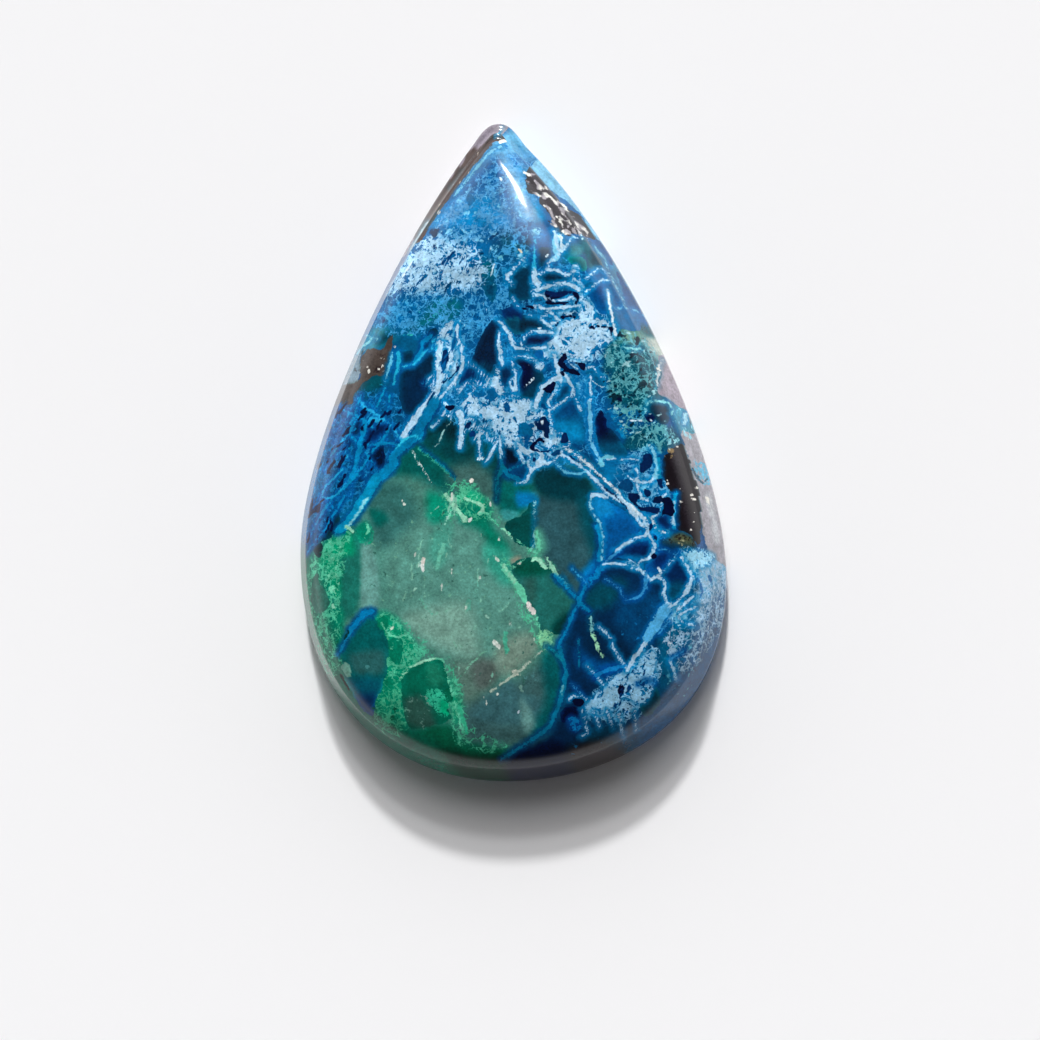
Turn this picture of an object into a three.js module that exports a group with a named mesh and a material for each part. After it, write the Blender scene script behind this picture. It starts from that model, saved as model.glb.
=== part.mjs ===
// Teardrop cabochon of shattuckite, millimetres, +Z up, resting on its flat back.
// It is one natural piece of stone: a flat sawn back, a narrow bevel, a rounded girdle,
// a side wall that leans in, a rounded shoulder and a gently crowned top that narrows to a
// soft crest behind the tip. +Y points to the tip, +X to the right of the crowned top.
import * as THREE from 'three';

// ---- driving dimensions ----
const LENGTH = 40.0;             // tip to round end
const WIDTH = 26.0;              // widest place, below the middle
const BACK_INSET = 0.62;         // the flat back stops this far inside the girdle
const BEVEL_INSET = 0.16;        // outer edge of the bevel around the back
const BEVEL_TOP = 0.42;
const GIRDLE_ROUND = 0.3;        // half height of the rounded girdle
const GIRDLE_INSET = 0.04;       // how far its upper and lower lines step in
const GIRDLE_Z = 1.15;           // height of the widest line
const WALL_INSET = 0.72;         // the side wall leans in by this much
const WALL_TOP = 3.45;           // top of the side wall around the round end
const TIP_WALL_DROP = 1.4;       // the wall is lower by this much at the tip
const TIP_DROP_START = 10.0;     // from here on towards the tip
const SHOULDER_RISE = 0.62;      // quick rise of the rounded shoulder
const SHOULDER_REACH = 0.62;
const CROWN_RISE = 1.75;         // slow rise of the crown behind it
const CROWN_REACH = 3.4;
const TIP_CROWN_REACH = 1.5;     // the crown rises faster near the tip
const TIP_CROWN_FROM = 6.0;
const TIP_CROWN_FULL = 17.0;
const CREST_START = -2.0;        // above this height the crown narrows to a crest
const CREST_FULL = 10.0;
const CREST_ROUNDING = 2.2;      // width over which the crest is rounded off
const CREST_SOFTENING = 1.2;     // less rounding where the flanks lie closer than this
const CREST_LEAN = 0.6;          // the left flank is flatter, so the crest runs to the right
const CREST_LEAN_REACH = 4.5;    // length over which the lean begins behind the tip
const CENTRE_Y = -4.0;           // the facets of top and back meet here

// ---- facets ----
const AROUND = 168;
const BACK_RINGS = 4;
const CROWN_RINGS = 14;
const OUTLINE_SAMPLES = 720;

const halfWidth = WIDTH / 2;
const halfLength = LENGTH / 2;
const crownRadius = halfWidth - WALL_INSET;
const backRadius = halfWidth - BACK_INSET;

function smoothRamp(value) {
  const t = THREE.MathUtils.clamp(value, 0, 1);
  return t * t * (3 - 2 * t);
}

// Outline of the girdle seen from above, drawn clockwise from the tip. The right flank is
// a little fuller than the left one, and the rounded tip stands just left of the middle.
function makeOutline() {
  const path = new THREE.Path();
  path.moveTo(-0.8, halfLength);
  path.bezierCurveTo(0.05, halfLength, 0.4, 19.0, 1.1, 18.3);
  path.bezierCurveTo(7.0, 12.3, halfWidth, -0.7, halfWidth, -7.9);
  path.bezierCurveTo(halfWidth, -17.1, 5.4, -halfLength, -0.3, -halfLength);
  path.bezierCurveTo(-7.2, -halfLength, -halfWidth, -15.4, -halfWidth, -6.1);
  path.bezierCurveTo(-halfWidth, 0.5, -7.2, 12.4, -2.5, 18.6);
  path.bezierCurveTo(-2.0, 19.25, -1.65, halfLength, -0.8, halfLength);
  return path;
}

// Half section of a round blank, from the middle of the back to the middle of the top.
// Its radius is half the width; the crown's heights are set after the stretch.
function makeSection() {
  const points = [new THREE.Vector2(0, 0)];
  for (let ring = 1; ring <= BACK_RINGS; ring += 1) {
    points.push(new THREE.Vector2(backRadius * ring / BACK_RINGS, 0));
  }
  points.push(new THREE.Vector2(halfWidth - BEVEL_INSET, BEVEL_TOP));
  points.push(new THREE.Vector2(halfWidth - GIRDLE_INSET, GIRDLE_Z - GIRDLE_ROUND));
  points.push(new THREE.Vector2(halfWidth, GIRDLE_Z));
  points.push(new THREE.Vector2(halfWidth - GIRDLE_INSET, GIRDLE_Z + GIRDLE_ROUND));
  points.push(new THREE.Vector2(halfWidth - WALL_INSET / 2, (GIRDLE_Z + WALL_TOP) / 2));
  points.push(new THREE.Vector2(crownRadius, WALL_TOP));
  for (let ring = 1; ring <= CROWN_RINGS; ring += 1) {
    // rings lie close together on the shoulder and wide apart on the crown
    const inward = Math.pow(ring / CROWN_RINGS, 2.1);
    points.push(new THREE.Vector2(crownRadius * (1 - inward), WALL_TOP));
  }
  return points;
}

// Distances from a place to the left and to the right flank of the outline.
function flankDistances(samples, x, y) {
  const nearest = { left: Infinity, right: Infinity };
  for (let i = 0; i < samples.length; i += 1) {
    // the outline runs down the right flank first, then up the left one
    const side = i <= samples.length / 2 ? 'right' : 'left';
    nearest[side] = Math.min(nearest[side], Math.hypot(samples[i].x - x, samples[i].y - y));
  }
  return nearest;
}

function wallTopAt(y) {
  const towardsTip = (y - TIP_DROP_START) / (halfLength - TIP_DROP_START);
  return WALL_TOP - TIP_WALL_DROP * smoothRamp(towardsTip);
}

// The smaller of two depths, rounded where they are alike.
function softLeast(a, b, rounding) {
  return (a + b - Math.hypot(a - b, rounding)) / 2;
}

// Height of the crowned top. It depends on the depth inside the outline; towards the tip
// the two flanks meet in a crest, which is rounded off and runs along the right flank.
function crownHeight(samples, x, y) {
  const { left, right } = flankDistances(samples, x, y);
  const towardsTip = smoothRamp((y - CREST_START) / (CREST_FULL - CREST_START));
  const lean = 1 - CREST_LEAN * towardsTip * smoothRamp((halfLength - y) / CREST_LEAN_REACH);
  const shared = left * right / (left + right);
  const rounding = towardsTip * CREST_ROUNDING * shared / (shared + CREST_SOFTENING);
  const shoulderDepth = Math.max(0, softLeast(left, right, rounding) - WALL_INSET);
  const crownDepth = Math.max(0, softLeast(left * lean, right, rounding) - WALL_INSET * lean);
  const shorter = smoothRamp((y - TIP_CROWN_FROM) / (TIP_CROWN_FULL - TIP_CROWN_FROM));
  const crownReach = THREE.MathUtils.lerp(CROWN_REACH, TIP_CROWN_REACH, shorter);
  const shoulder = SHOULDER_RISE * (1 - Math.exp(-shoulderDepth / SHOULDER_REACH));
  const crown = CROWN_RISE * (1 - Math.exp(-crownDepth / crownReach));
  return wallTopAt(y) + shoulder + crown;
}

// The turned blank is stretched onto the teardrop: the back and the crown run from the
// middle to the outline, and the wall follows the outline at its own inset.
function makeStoneGeometry() {
  const outline = makeOutline();
  const samples = outline.getSpacedPoints(OUTLINE_SAMPLES);
  const section = makeSection();
  const geometry = new THREE.LatheGeometry(section, AROUND);
  geometry.rotateX(Math.PI / 2);
  const position = geometry.attributes.position;
  const middle = new THREE.Vector2(0, CENTRE_Y);
  const lastWallRow = section.length - 1 - CROWN_RINGS;
  for (let column = 0; column <= AROUND; column += 1) {
    // the blank is turned anticlockwise and the outline is drawn clockwise
    const along = ((AROUND - column) % AROUND) / AROUND;
    const edge = outline.getPointAt(along);
    const tangent = outline.getTangentAt(along);
    const inward = new THREE.Vector2(tangent.y, -tangent.x);
    const crownEdge = edge.clone().addScaledVector(inward, WALL_INSET);
    const backEdge = edge.clone().addScaledVector(inward, BACK_INSET);
    for (let row = 0; row < section.length; row += 1) {
      const radius = section[row].x;
      const place = new THREE.Vector2();
      let z = section[row].y;
      if (row <= BACK_RINGS) {
        place.lerpVectors(middle, backEdge, radius / backRadius);
      } else if (row <= lastWallRow) {
        place.copy(edge).addScaledVector(inward, halfWidth - radius);
        const share = smoothRamp((z - GIRDLE_Z) / (WALL_TOP - GIRDLE_Z));
        z -= (WALL_TOP - wallTopAt(place.y)) * share;
      } else {
        place.lerpVectors(middle, crownEdge, radius / crownRadius);
        z = crownHeight(samples, place.x, place.y);
      }
      position.setXYZ(column * section.length + row, place.x, place.y, z);
    }
  }
  position.needsUpdate = true;
  geometry.computeVertexNormals();
  return geometry;
}

function makePolishedStone() {
  return new THREE.MeshStandardMaterial({ color: 0x2f7fae, roughness: 0.16, metalness: 0 });
}

const stone = new THREE.Mesh(makeStoneGeometry(), makePolishedStone());
stone.name = 'shattuckite_stone';

const group = new THREE.Group();
group.add(stone);

export default group;
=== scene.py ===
# A polished teardrop cabochon of shattuckite lying on a pale sheet in soft studio light.
import math

import bmesh
import bpy
import numpy as np
from mathutils import Matrix, Vector


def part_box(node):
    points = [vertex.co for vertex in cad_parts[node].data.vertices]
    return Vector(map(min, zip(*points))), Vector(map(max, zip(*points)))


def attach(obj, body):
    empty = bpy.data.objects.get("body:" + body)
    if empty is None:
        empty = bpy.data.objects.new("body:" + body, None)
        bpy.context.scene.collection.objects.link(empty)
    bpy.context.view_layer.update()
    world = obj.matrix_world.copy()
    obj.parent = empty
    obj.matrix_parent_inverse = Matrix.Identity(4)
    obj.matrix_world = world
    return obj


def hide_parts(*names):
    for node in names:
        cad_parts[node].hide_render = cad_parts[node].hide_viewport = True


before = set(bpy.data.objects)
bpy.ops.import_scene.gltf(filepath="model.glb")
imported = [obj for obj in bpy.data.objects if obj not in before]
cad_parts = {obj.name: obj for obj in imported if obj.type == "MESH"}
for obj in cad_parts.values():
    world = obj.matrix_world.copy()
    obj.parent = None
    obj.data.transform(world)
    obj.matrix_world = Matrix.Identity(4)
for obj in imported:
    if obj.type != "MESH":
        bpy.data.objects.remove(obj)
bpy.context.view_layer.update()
MM = 0.001

# ---- the stone's cut ----
# One piece of rock, sawn flat at the back, ground to a teardrop on a wheel, its edge rounded to a
# girdle, and the top crowned by hand so that it narrows to a soft crest behind the tip.
STONE = "shattuckite_stone"
stone_low, stone_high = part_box(STONE)
half_width = (stone_high.x - stone_low.x) / 2 / MM
half_length = (stone_high.y - stone_low.y) / 2 / MM
BACK_INSET = 0.62
BEVEL_INSET = 0.16
BEVEL_TOP = 0.42
GIRDLE_Z = 1.15
GIRDLE_ROUND = 0.45
GIRDLE_INSET = 0.05
WALL_INSET = 0.72
WALL_TOP = 3.45
TIP_WALL_DROP = 1.4
TIP_DROP_START = 10.0
SHOULDER_RISE = 0.62
SHOULDER_REACH = 0.62
CROWN_RISE = 1.75
CROWN_REACH = 3.4
TIP_CROWN_REACH = 1.5
TIP_CROWN_FROM = 6.0
TIP_CROWN_FULL = 17.0
CREST_START = -2.0
CREST_FULL = 10.0
CREST_ROUNDING = 2.2
CREST_SOFTENING = 1.2
CREST_LEAN = 0.6
CREST_LEAN_REACH = 4.5
CENTRE_Y = -4.0
TIP_POINTS = 60
FLANK_POINTS = 700
END_POINTS = 500
FAR_AWAY = 99.0
PLACES_AT_ONCE = 4000


def smooth_ramp(value):
    """From 0 to 1 with a soft start and end."""
    t = np.clip(value, 0.0, 1.0)
    return t * t * (3 - 2 * t)


def bezier(start, handle_a, handle_b, end, count):
    """Points along one curve, without its last."""
    t = np.linspace(0.0, 1.0, count, endpoint=False)[:, None]
    a, b, c, d = (np.array(p, float) for p in (start, handle_a, handle_b, end))
    return (1 - t) ** 3 * a + 3 * (1 - t) ** 2 * t * b + 3 * (1 - t) * t * t * c + t ** 3 * d


def girdle_outline():
    """Points on the girdle seen from above, clockwise from the tip, and the directions into the stone."""
    w, h = half_width, half_length
    tip, end = (-0.8, h), (-0.3, -h)
    right, wide = (1.1, 18.3), (w, -7.9)
    left_wide, left = (-w, -6.1), (-2.5, 18.6)
    points = np.concatenate([
        bezier(tip, (0.05, h), (0.4, 19.0), right, TIP_POINTS),
        bezier(right, (7.0, 12.3), (w, -0.7), wide, FLANK_POINTS),
        bezier(wide, (w, -17.1), (5.4, -h), end, END_POINTS),
        bezier(end, (-7.2, -h), (-w, -15.4), left_wide, END_POINTS),
        bezier(left_wide, (-w, 0.5), (-7.2, 12.4), left, FLANK_POINTS),
        bezier(left, (-2.0, 19.25), (-1.65, h), tip, TIP_POINTS),
    ])
    along = np.roll(points, -1, axis=0) - np.roll(points, 1, axis=0)
    along /= np.linalg.norm(along, axis=1)[:, None]
    return points, np.stack([along[:, 1], -along[:, 0]], axis=1)


outline, inward = girdle_outline()
on_right = np.arange(len(outline)) < TIP_POINTS + FLANK_POINTS + END_POINTS
turn = np.arctan2(outline[:, 1] - CENTRE_Y, outline[:, 0])
by_turn = np.argsort(turn)


def rim_at(angle, inset):
    """Place on the outline, moved inwards, that is seen from the middle in one direction."""
    edge = outline[by_turn] + inward[by_turn] * inset
    angles = turn[by_turn]
    x = np.interp(angle, angles, edge[:, 0], period=2 * np.pi)
    y = np.interp(angle, angles, edge[:, 1], period=2 * np.pi)
    return np.stack([x, y], axis=-1)


def flank_depths(places):
    """Distances from places to the right and the left flank of the outline."""
    right, left = [], []
    for part in np.array_split(places, max(1, len(places) // PLACES_AT_ONCE)):
        gap = part[:, None, :] - outline[None, :, :]
        far = np.hypot(gap[..., 0], gap[..., 1])
        right.append(np.min(np.where(on_right, far, FAR_AWAY), axis=1))
        left.append(np.min(np.where(on_right, FAR_AWAY, far), axis=1))
    return np.concatenate(right), np.concatenate(left)


def wall_top_at(y):
    """Height of the crown's edge, which drops towards the tip."""
    return WALL_TOP - TIP_WALL_DROP * smooth_ramp((y - TIP_DROP_START) / (half_length - TIP_DROP_START))


def soft_least(a, b, rounding):
    """The smaller of two depths, with a rounded change from one to the other."""
    return (a + b - np.hypot(a - b, rounding)) / 2


def crown_height(places):
    """Height of the polished top: a tight shoulder at the edge and a slower dome inside it."""
    right, left = flank_depths(places)
    y = places[:, 1]
    towards_tip = smooth_ramp((y - CREST_START) / (CREST_FULL - CREST_START))
    lean = 1 - CREST_LEAN * towards_tip * smooth_ramp((half_length - y) / CREST_LEAN_REACH)
    shared = left * right / (left + right)
    rounding = towards_tip * CREST_ROUNDING * shared / (shared + CREST_SOFTENING)
    shoulder_depth = np.maximum(0.0, soft_least(left, right, rounding) - WALL_INSET)
    crown_depth = np.maximum(0.0, soft_least(left * lean, right, rounding) - WALL_INSET * lean)
    shorter = smooth_ramp((y - TIP_CROWN_FROM) / (TIP_CROWN_FULL - TIP_CROWN_FROM))
    crown_reach = CROWN_REACH + (TIP_CROWN_REACH - CROWN_REACH) * shorter
    shoulder = SHOULDER_RISE * (1 - np.exp(-shoulder_depth / SHOULDER_REACH))
    crown = CROWN_RISE * (1 - np.exp(-crown_depth / crown_reach))
    return wall_top_at(y) + shoulder + crown


def pressed_round(verts):
    """How far out and in which direction a square grid's corners lie, once it is pressed into a round."""
    square = np.array([v.co[:2] for v in verts])
    disc = square * np.sqrt(1 - square[:, ::-1] ** 2 / 2)
    return np.hypot(disc[:, 0], disc[:, 1]), np.arctan2(disc[:, 1], disc[:, 0])


# The crowned top starts as a fine square grid that is pressed into a round and stretched to the rim.
GRID_X, GRID_Y = 190, 300
stone_mesh = bmesh.new()
bmesh.ops.create_grid(stone_mesh, x_segments=GRID_X, y_segments=GRID_Y, size=1.0)
reach, angle = pressed_round(stone_mesh.verts)
centre = np.array([0.0, CENTRE_Y])
crown = centre + (rim_at(angle, WALL_INSET) - centre) * reach[:, None]
crown_z = crown_height(crown)
facing = stone_mesh.verts.layers.float.new("facing")
for vertex, place, z, a in zip(stone_mesh.verts, crown, crown_z, angle):
    vertex.co = (place[0], place[1], z)
    vertex[facing] = a

crown_count = len(stone_mesh.verts)

# The wall, girdle and bevel are drawn down from the crown's edge ring by ring.
edge_loop = [e for e in stone_mesh.edges if e.is_boundary]


def draw_down(loop, inset, height):
    """Extrude an edge loop to a new inset and height, and return the loop that it makes."""
    made = bmesh.ops.extrude_edge_only(stone_mesh, edges=loop)["geom"]
    ring = [g for g in made if isinstance(g, bmesh.types.BMVert)]
    places = rim_at(np.array([v[facing] for v in ring]), inset)
    drop = WALL_TOP - wall_top_at(places[:, 1])
    z = height - drop * smooth_ramp((height - GIRDLE_Z) / (WALL_TOP - GIRDLE_Z))
    for vertex, place, level in zip(ring, places, z):
        vertex.co = (place[0], place[1], level)
    ring = set(ring)
    edges = [g for g in made if isinstance(g, bmesh.types.BMEdge)]
    return [e for e in edges if e.verts[0] in ring and e.verts[1] in ring]


WALL_RINGS = 9
girdle_top = GIRDLE_Z + GIRDLE_ROUND
for step in range(1, WALL_RINGS + 1):
    share = step / WALL_RINGS
    inset = WALL_INSET + (GIRDLE_INSET - WALL_INSET) * share
    edge_loop = draw_down(edge_loop, inset, WALL_TOP + (girdle_top - WALL_TOP) * share)
for step in (-0.6, 0.0, 0.6, 1.0):
    edge_loop = draw_down(edge_loop, GIRDLE_INSET * step * step, GIRDLE_Z - GIRDLE_ROUND * step)
edge_loop = draw_down(edge_loop, BEVEL_INSET, BEVEL_TOP)
edge_loop = draw_down(edge_loop, BACK_INSET, 0.0)

# The sawn back is a coarser grid joined to the bevel.
BRIDGE_WIDTH = 0.35
before = set(stone_mesh.verts)
back_start = len(before)
bmesh.ops.create_grid(stone_mesh, x_segments=GRID_X // 2, y_segments=GRID_Y // 2, size=1.0)
back = [v for v in stone_mesh.verts if v not in before]
reach, angle = pressed_round(back)
places = centre + (rim_at(angle, BACK_INSET + BRIDGE_WIDTH) - centre) * reach[:, None]
for vertex, place, a in zip(back, places, angle):
    vertex.co = (place[0], place[1], 0.0)
    vertex[facing] = a
back_faces = list({f for v in back for f in v.link_faces})
bmesh.ops.reverse_faces(stone_mesh, faces=back_faces)
open_edges = [e for e in stone_mesh.edges if e.is_boundary]
bmesh.ops.bridge_loops(stone_mesh, edges=open_edges)
bmesh.ops.recalc_face_normals(stone_mesh, faces=stone_mesh.faces)

# Extruding leaves the wall's faces and edges in an order that changes from run to run, so they are
# sorted by their places: the same stone is then stored in the same way each time.
for parts in (stone_mesh.faces, stone_mesh.edges):
    parts.index_update()
    middles = np.array([np.mean([v.co[:] for v in part.verts], axis=0) for part in parts])
    rank = np.empty(len(middles), int)
    rank[np.lexsort(middles.T)] = np.arange(len(middles))
    parts.sort(key=lambda part: rank[part.index])
    parts.index_update()

# ---- the minerals ----
# The rock is azure and pale blue shattuckite grown through green quartz and malachite, with brown matrix
# at the edges; the saw cut across all of it, so each mineral shows as a patch, cell, vein or fleck.
DAYLIGHT = 0.957
SIDE_STRETCH = 0.45
GRAIN_CELLS = 128
GRAIN_GAIN = 1.6


def paint(red, green, blue):
    """A mineral's colour from the red, green and blue it shows in daylight, each from 0 to 255."""
    return np.array([red, green, blue]) / 255 * DAYLIGHT


def grain(places, size, seed):
    """Smooth random grain from about -1 to 1, with lumps of one size in millimetres."""
    spin = np.random.default_rng(seed).uniform(0, 2 * np.pi, (GRAIN_CELLS, GRAIN_CELLS))
    cell = np.floor(places / size).astype(int)
    part = places / size - cell
    fade = part ** 3 * (part * (part * 6 - 15) + 10)
    total = np.zeros(len(places))
    for dx in (0, 1):
        for dy in (0, 1):
            a = spin[(cell[:, 0] + dx) % GRAIN_CELLS, (cell[:, 1] + dy) % GRAIN_CELLS]
            slope = np.cos(a) * (part[:, 0] - dx) + np.sin(a) * (part[:, 1] - dy)
            share = np.abs(1 - dx - fade[:, 0]) * np.abs(1 - dy - fade[:, 1])
            total += share * slope
    return total * GRAIN_GAIN


def two_way_grain(places, size, seed):
    """The same grain for x and y, each with its own seed."""
    return np.stack([grain(places, size, seed), grain(places, size, seed + 1)], 1)


# Each vertex gets its place in the sawn pattern: the wall carries the edge's pattern on outwards and
# down, and the back shows the same layers again, shifted as they are deeper in the rock.
BACK_SHIFT = (1.3, -1.6)
turned = np.array([v[facing] for v in stone_mesh.verts])
solid = np.array([v.co[:] for v in stone_mesh.verts])
spots = solid[:, :2].copy()
outwards = rim_at(turned, 0.0) - rim_at(turned, 1.0)
wall_slant = np.linalg.norm((WALL_INSET, WALL_TOP))
down = wall_slant * (1 - solid[:, 2] / WALL_TOP)
wall = slice(crown_count, back_start)
beyond = SIDE_STRETCH * down[wall, None] - WALL_INSET
spots[wall] = rim_at(turned[wall], 0.0) + outwards[wall] * beyond
deeper = slice(back_start, len(solid))
beyond = SIDE_STRETCH * wall_slant - WALL_INSET
full = rim_at(turned[deeper], 0.0) + outwards[deeper] * beyond - centre
across = np.linalg.norm(solid[deeper, :2] - centre, axis=1) / np.linalg.norm(full, axis=1)
spots[deeper] = centre + full * across[:, None]
sway = smooth_ramp((1.0 - across) / 0.3)[:, None]
spots[deeper] += sway * (BACK_SHIFT + 1.2 * two_way_grain(spots[deeper], 5.0, 1))
ragged = two_way_grain(spots, 0.5, 3) * 0.06
ragged += two_way_grain(spots, 0.22, 5) * 0.035
spots += ragged

ground = np.zeros((len(spots), 3))
ground[:] = paint(2, 72, 124)
layers = {}
LAYER_ORDER = ("cells", "shade", "bloom", "lace", "masses", "veins", "pits", "flecks")
for name in LAYER_ORDER:
    layers[name] = np.zeros((len(spots), 4))
for name in ("cells", "masses", "veins", "pits", "flecks"):
    layers[name][:, 3] = -1.0


def near(shape, margin):
    """The vertices in a box around a shape."""
    low, high = shape.min(axis=0) - margin, shape.max(axis=0) + margin
    return np.nonzero(np.all((spots > low) & (spots < high), axis=1))[0]


def rounded(points, closed):
    """A smooth run of places through the given points."""
    points = np.array(points, float)
    count = len(points)
    if closed:
        around = np.concatenate([points[-1:], points, points[:2]])
    else:
        around = np.concatenate([2 * points[:1] - points[1:2], points, 2 * points[-1:] - points[-2:-1]])
        count -= 1
    t = np.linspace(0, 1, 5, endpoint=False)[None, :, None]
    a, b, c, d = (around[i:i + count, None, :] for i in range(4))
    curve = b + t * (c - a) / 2 + t * t * (2 * a - 5 * b + 4 * c - d) / 2
    curve = curve + t ** 3 * (3 * b - 3 * c + d - a) / 2
    curve = curve.reshape(-1, points.shape[1])
    return curve if closed else np.concatenate([curve, points[-1:]])


def to_segments(places, starts, ends):
    """Distance from each place to the nearest segment, and how far along the whole run that is."""
    run = ends - starts
    length = np.maximum(np.sum(run * run, axis=1), 1e-9)
    gap = places[:, None, :] - starts[None]
    t = np.clip(np.sum(gap * run, axis=2) / length, 0, 1)
    far = np.linalg.norm(gap - t[..., None] * run, axis=2)
    best = np.argmin(far, axis=1)
    rows = np.arange(len(places))
    return far[rows, best], (best + t[rows, best]) / len(starts)


def depth_in(places, outline_run):
    """Distance to a closed outline, positive inside it."""
    ends = np.roll(outline_run, -1, axis=0)
    far, _ = to_segments(places, outline_run, ends)
    x, y = places[:, 0:1], places[:, 1:2]
    crosses = (outline_run[:, 1] > y) != (ends[:, 1] > y)
    rise = np.where(ends[:, 1] == outline_run[:, 1], 1e-9, ends[:, 1] - outline_run[:, 1])
    at_x = outline_run[:, 0] + (y - outline_run[:, 1]) * (ends[:, 0] - outline_run[:, 0]) / rise
    inside = np.sum(crosses & (x < at_x), axis=1) % 2 == 1
    return np.where(inside, far, -far)


def lay(layer, colour, found, depth):
    """Put one shape into a layer; inside it, or where it is the nearest, its colour counts."""
    old = layers[layer][found]
    wins = (depth > 0) | (depth > old[:, 3])
    old[wins, :3] = colour
    old[:, 3] = np.maximum(old[:, 3], depth)
    layers[layer][found] = old


def soft_share(points, soft):
    """The vertices near an area, and how far each is inside its soft edge, from 0 to 1."""
    run = rounded(points, True)
    found = near(run, soft)
    return found, smooth_ramp((depth_in(spots[found], run) / soft + 1) / 2)


def patch(colour, soft, *points):
    """A soft-edged stain in the ground colour."""
    found, share = soft_share(points, soft)
    ground[found] += (colour - ground[found]) * share[:, None]


def tint(layer, colour, soft, *points):
    """A soft change of colour inside the shapes already in one layer."""
    found, share = soft_share(points, soft)
    stored = layers[layer]
    stored[found, :3] += (colour - stored[found, :3]) * share[:, None]


def area(layer, colour, *points):
    """A crisp-edged area in one layer."""
    run = rounded(points, True)
    found = near(run, 0.6)
    lay(layer, colour, found, depth_in(spots[found], run))


def line(layer, colour, wide, narrow, *points):
    """A crisp line in one layer, its width going from one end to the other."""
    run = rounded(points, False)
    found = near(run, wide + narrow + 0.5)
    far, along = to_segments(spots[found], run[:-1], run[1:])
    lay(layer, colour, found, (wide + (narrow - wide) * along) / 2 - far)


def cell(colour, *points):
    """A flat block of one mineral."""
    area("cells", colour, *points)


def mass(colour, *points):
    """A frayed pale body, open between its fibres."""
    area("masses", colour, *points)


def vein(colour, wide, narrow, *points):
    """A filled crack, wide at its first point and narrow at its last."""
    line("veins", colour, wide, narrow, *points)


def hole(colour, *points):
    """A dark opening over the other layers."""
    area("pits", colour, *points)


def slot(colour, wide, *points):
    """A long dark opening."""
    line("pits", colour, wide, wide * 0.6, *points)


def fleck(colour, wide, *points):
    """A small bright grain; one point gives a round one."""
    line("flecks", colour, wide, wide * 0.7, points[0], *points[-1:], (points[-1][0] + 0.02, points[-1][1]))


def scatter(layer, colour, wide, length, slant, count, *points):
    """Many small strokes in an area, leaning by an angle in degrees, at places that never change."""
    run = rounded(points, True)
    order = np.random.default_rng(count)
    places = order.uniform(run.min(axis=0), run.max(axis=0), (count * 8, 2))
    for place in places[depth_in(places, run) > 0][:count]:
        angle = math.radians(slant + order.normal(0, 15))
        reach = length * order.uniform(0.15, 0.6)
        step = reach * np.array([math.cos(angle), math.sin(angle)])
        size = wide * order.uniform(0.6, 1.3)
        line(layer, colour, size, size * 0.6, place - step, place + step)


def mottle(layer, colour, cover, soft, *points):
    """Ragged grains of one mineral all over an area, with the share of the area that they cover."""
    found, share = soft_share(points, soft)
    stored = layers[layer]
    over_others = np.where(stored[found, 3] > 0, share, 1.0)[:, None]
    stored[found, :3] += (colour - stored[found, :3]) * over_others
    stored[found, 3] += (cover - stored[found, 3]) * share


def lace(colour, amount, soft, *points):
    """Mineral that fills the cracks between small cells: the amount, up to 1, makes the walls thicker."""
    mottle("lace", colour, amount, soft, *points)


# Colours that come back in several minerals, from the palest quartz to brown matrix.
ICE = paint(168, 208, 234)
FROST = paint(206, 226, 238)
SKY = paint(48, 138, 196)
BLUE = paint(7, 92, 158)
DEEP = paint(2, 62, 108)
NAVY = paint(2, 38, 80)
INK = paint(2, 18, 50)
MINT = paint(102, 208, 170)
PALE_GREEN = paint(148, 218, 186)
BROWN = paint(66, 50, 46)
BLACK = paint(30, 25, 30)
# Painted reflection: the grey-mauve that the polished rim reflects from the sheet, used as a border colour.
PAINTED_RIM_MAUVE = paint(132, 124, 136)
CREAM = paint(232, 230, 220)
OCHRE = paint(132, 112, 78)
AQUA = paint(128, 205, 218)

# The tip: sky-blue, clouded, with small blue pits and a few teal pockets.
patch(paint(16, 86, 138), 0.5, (-5.9, 12.6), (-2.6, 20.4), (0.8, 20.6), (5.6, 13), (2.6, 12.6),
      (-1, 13.2))
patch(paint(96, 168, 208), 0.3, (-3.2, 15.9), (0.6, 20.2), (2.2, 18.4), (1.3, 17.9), (-0.9, 17.7))
patch(paint(12, 128, 186), 0.5, (1.9, 13.2), (0, 12.9), (-4.6, 13.3), (-3.6, 14.9), (-1.6, 15.3),
      (-0.3, 14.9))
patch(paint(2, 98, 157), 0.35, (0.2, 14.1), (1, 14), (1.8, 13.2), (2.7, 12.9), (2.6, 12.1), (1.5, 12))
patch(paint(16, 139, 193), 0.25, (0.5, 17.3), (1, 17.1), (1.2, 15.6), (1.9, 14.9), (2.4, 13.7),
      (1.9, 13.5), (0.9, 15.2))
# Painted highlight: a pale haze laid along the glint on the crest behind the tip.
patch(paint(116, 172, 208), 0.3, (-0.4, 17.5), (0.1, 17.6), (0.9, 16.4), (1.9, 14.2), (1.7, 13.5),
      (0.9, 14))
mottle("shade", paint(3, 109, 171), 0.3, 0.3, (-1.5, 18), (0.1, 19.2), (1.9, 17.7), (0.8, 15.8),
       (-1.6, 15.9))
mottle("bloom", paint(128, 204, 234), 0.34, 0.4, (-3.6, 15.2), (0.2, 16.8), (2, 14.6), (1.6, 13.4),
       (-4.3, 13.6))
mottle("shade", paint(2, 94, 150), 0.28, 0.4, (-4, 15), (-0.2, 16.3), (1.8, 13.9), (1.9, 12.6),
       (-4.5, 13.2))
hole(paint(8, 92, 138), (-2.4, 15.4), (-2, 15.3), (-1.8, 14.9), (-2.3, 14.6))
slot(DEEP, 0.16, (-4.9, 13.6), (-4.75, 13.2), (-4.3, 13), (-4.1, 13.3))
hole(paint(2, 49, 81), (-4.7, 13.2), (-4.3, 13.3), (-4.1, 12.9), (-4.4, 12.7))
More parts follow.
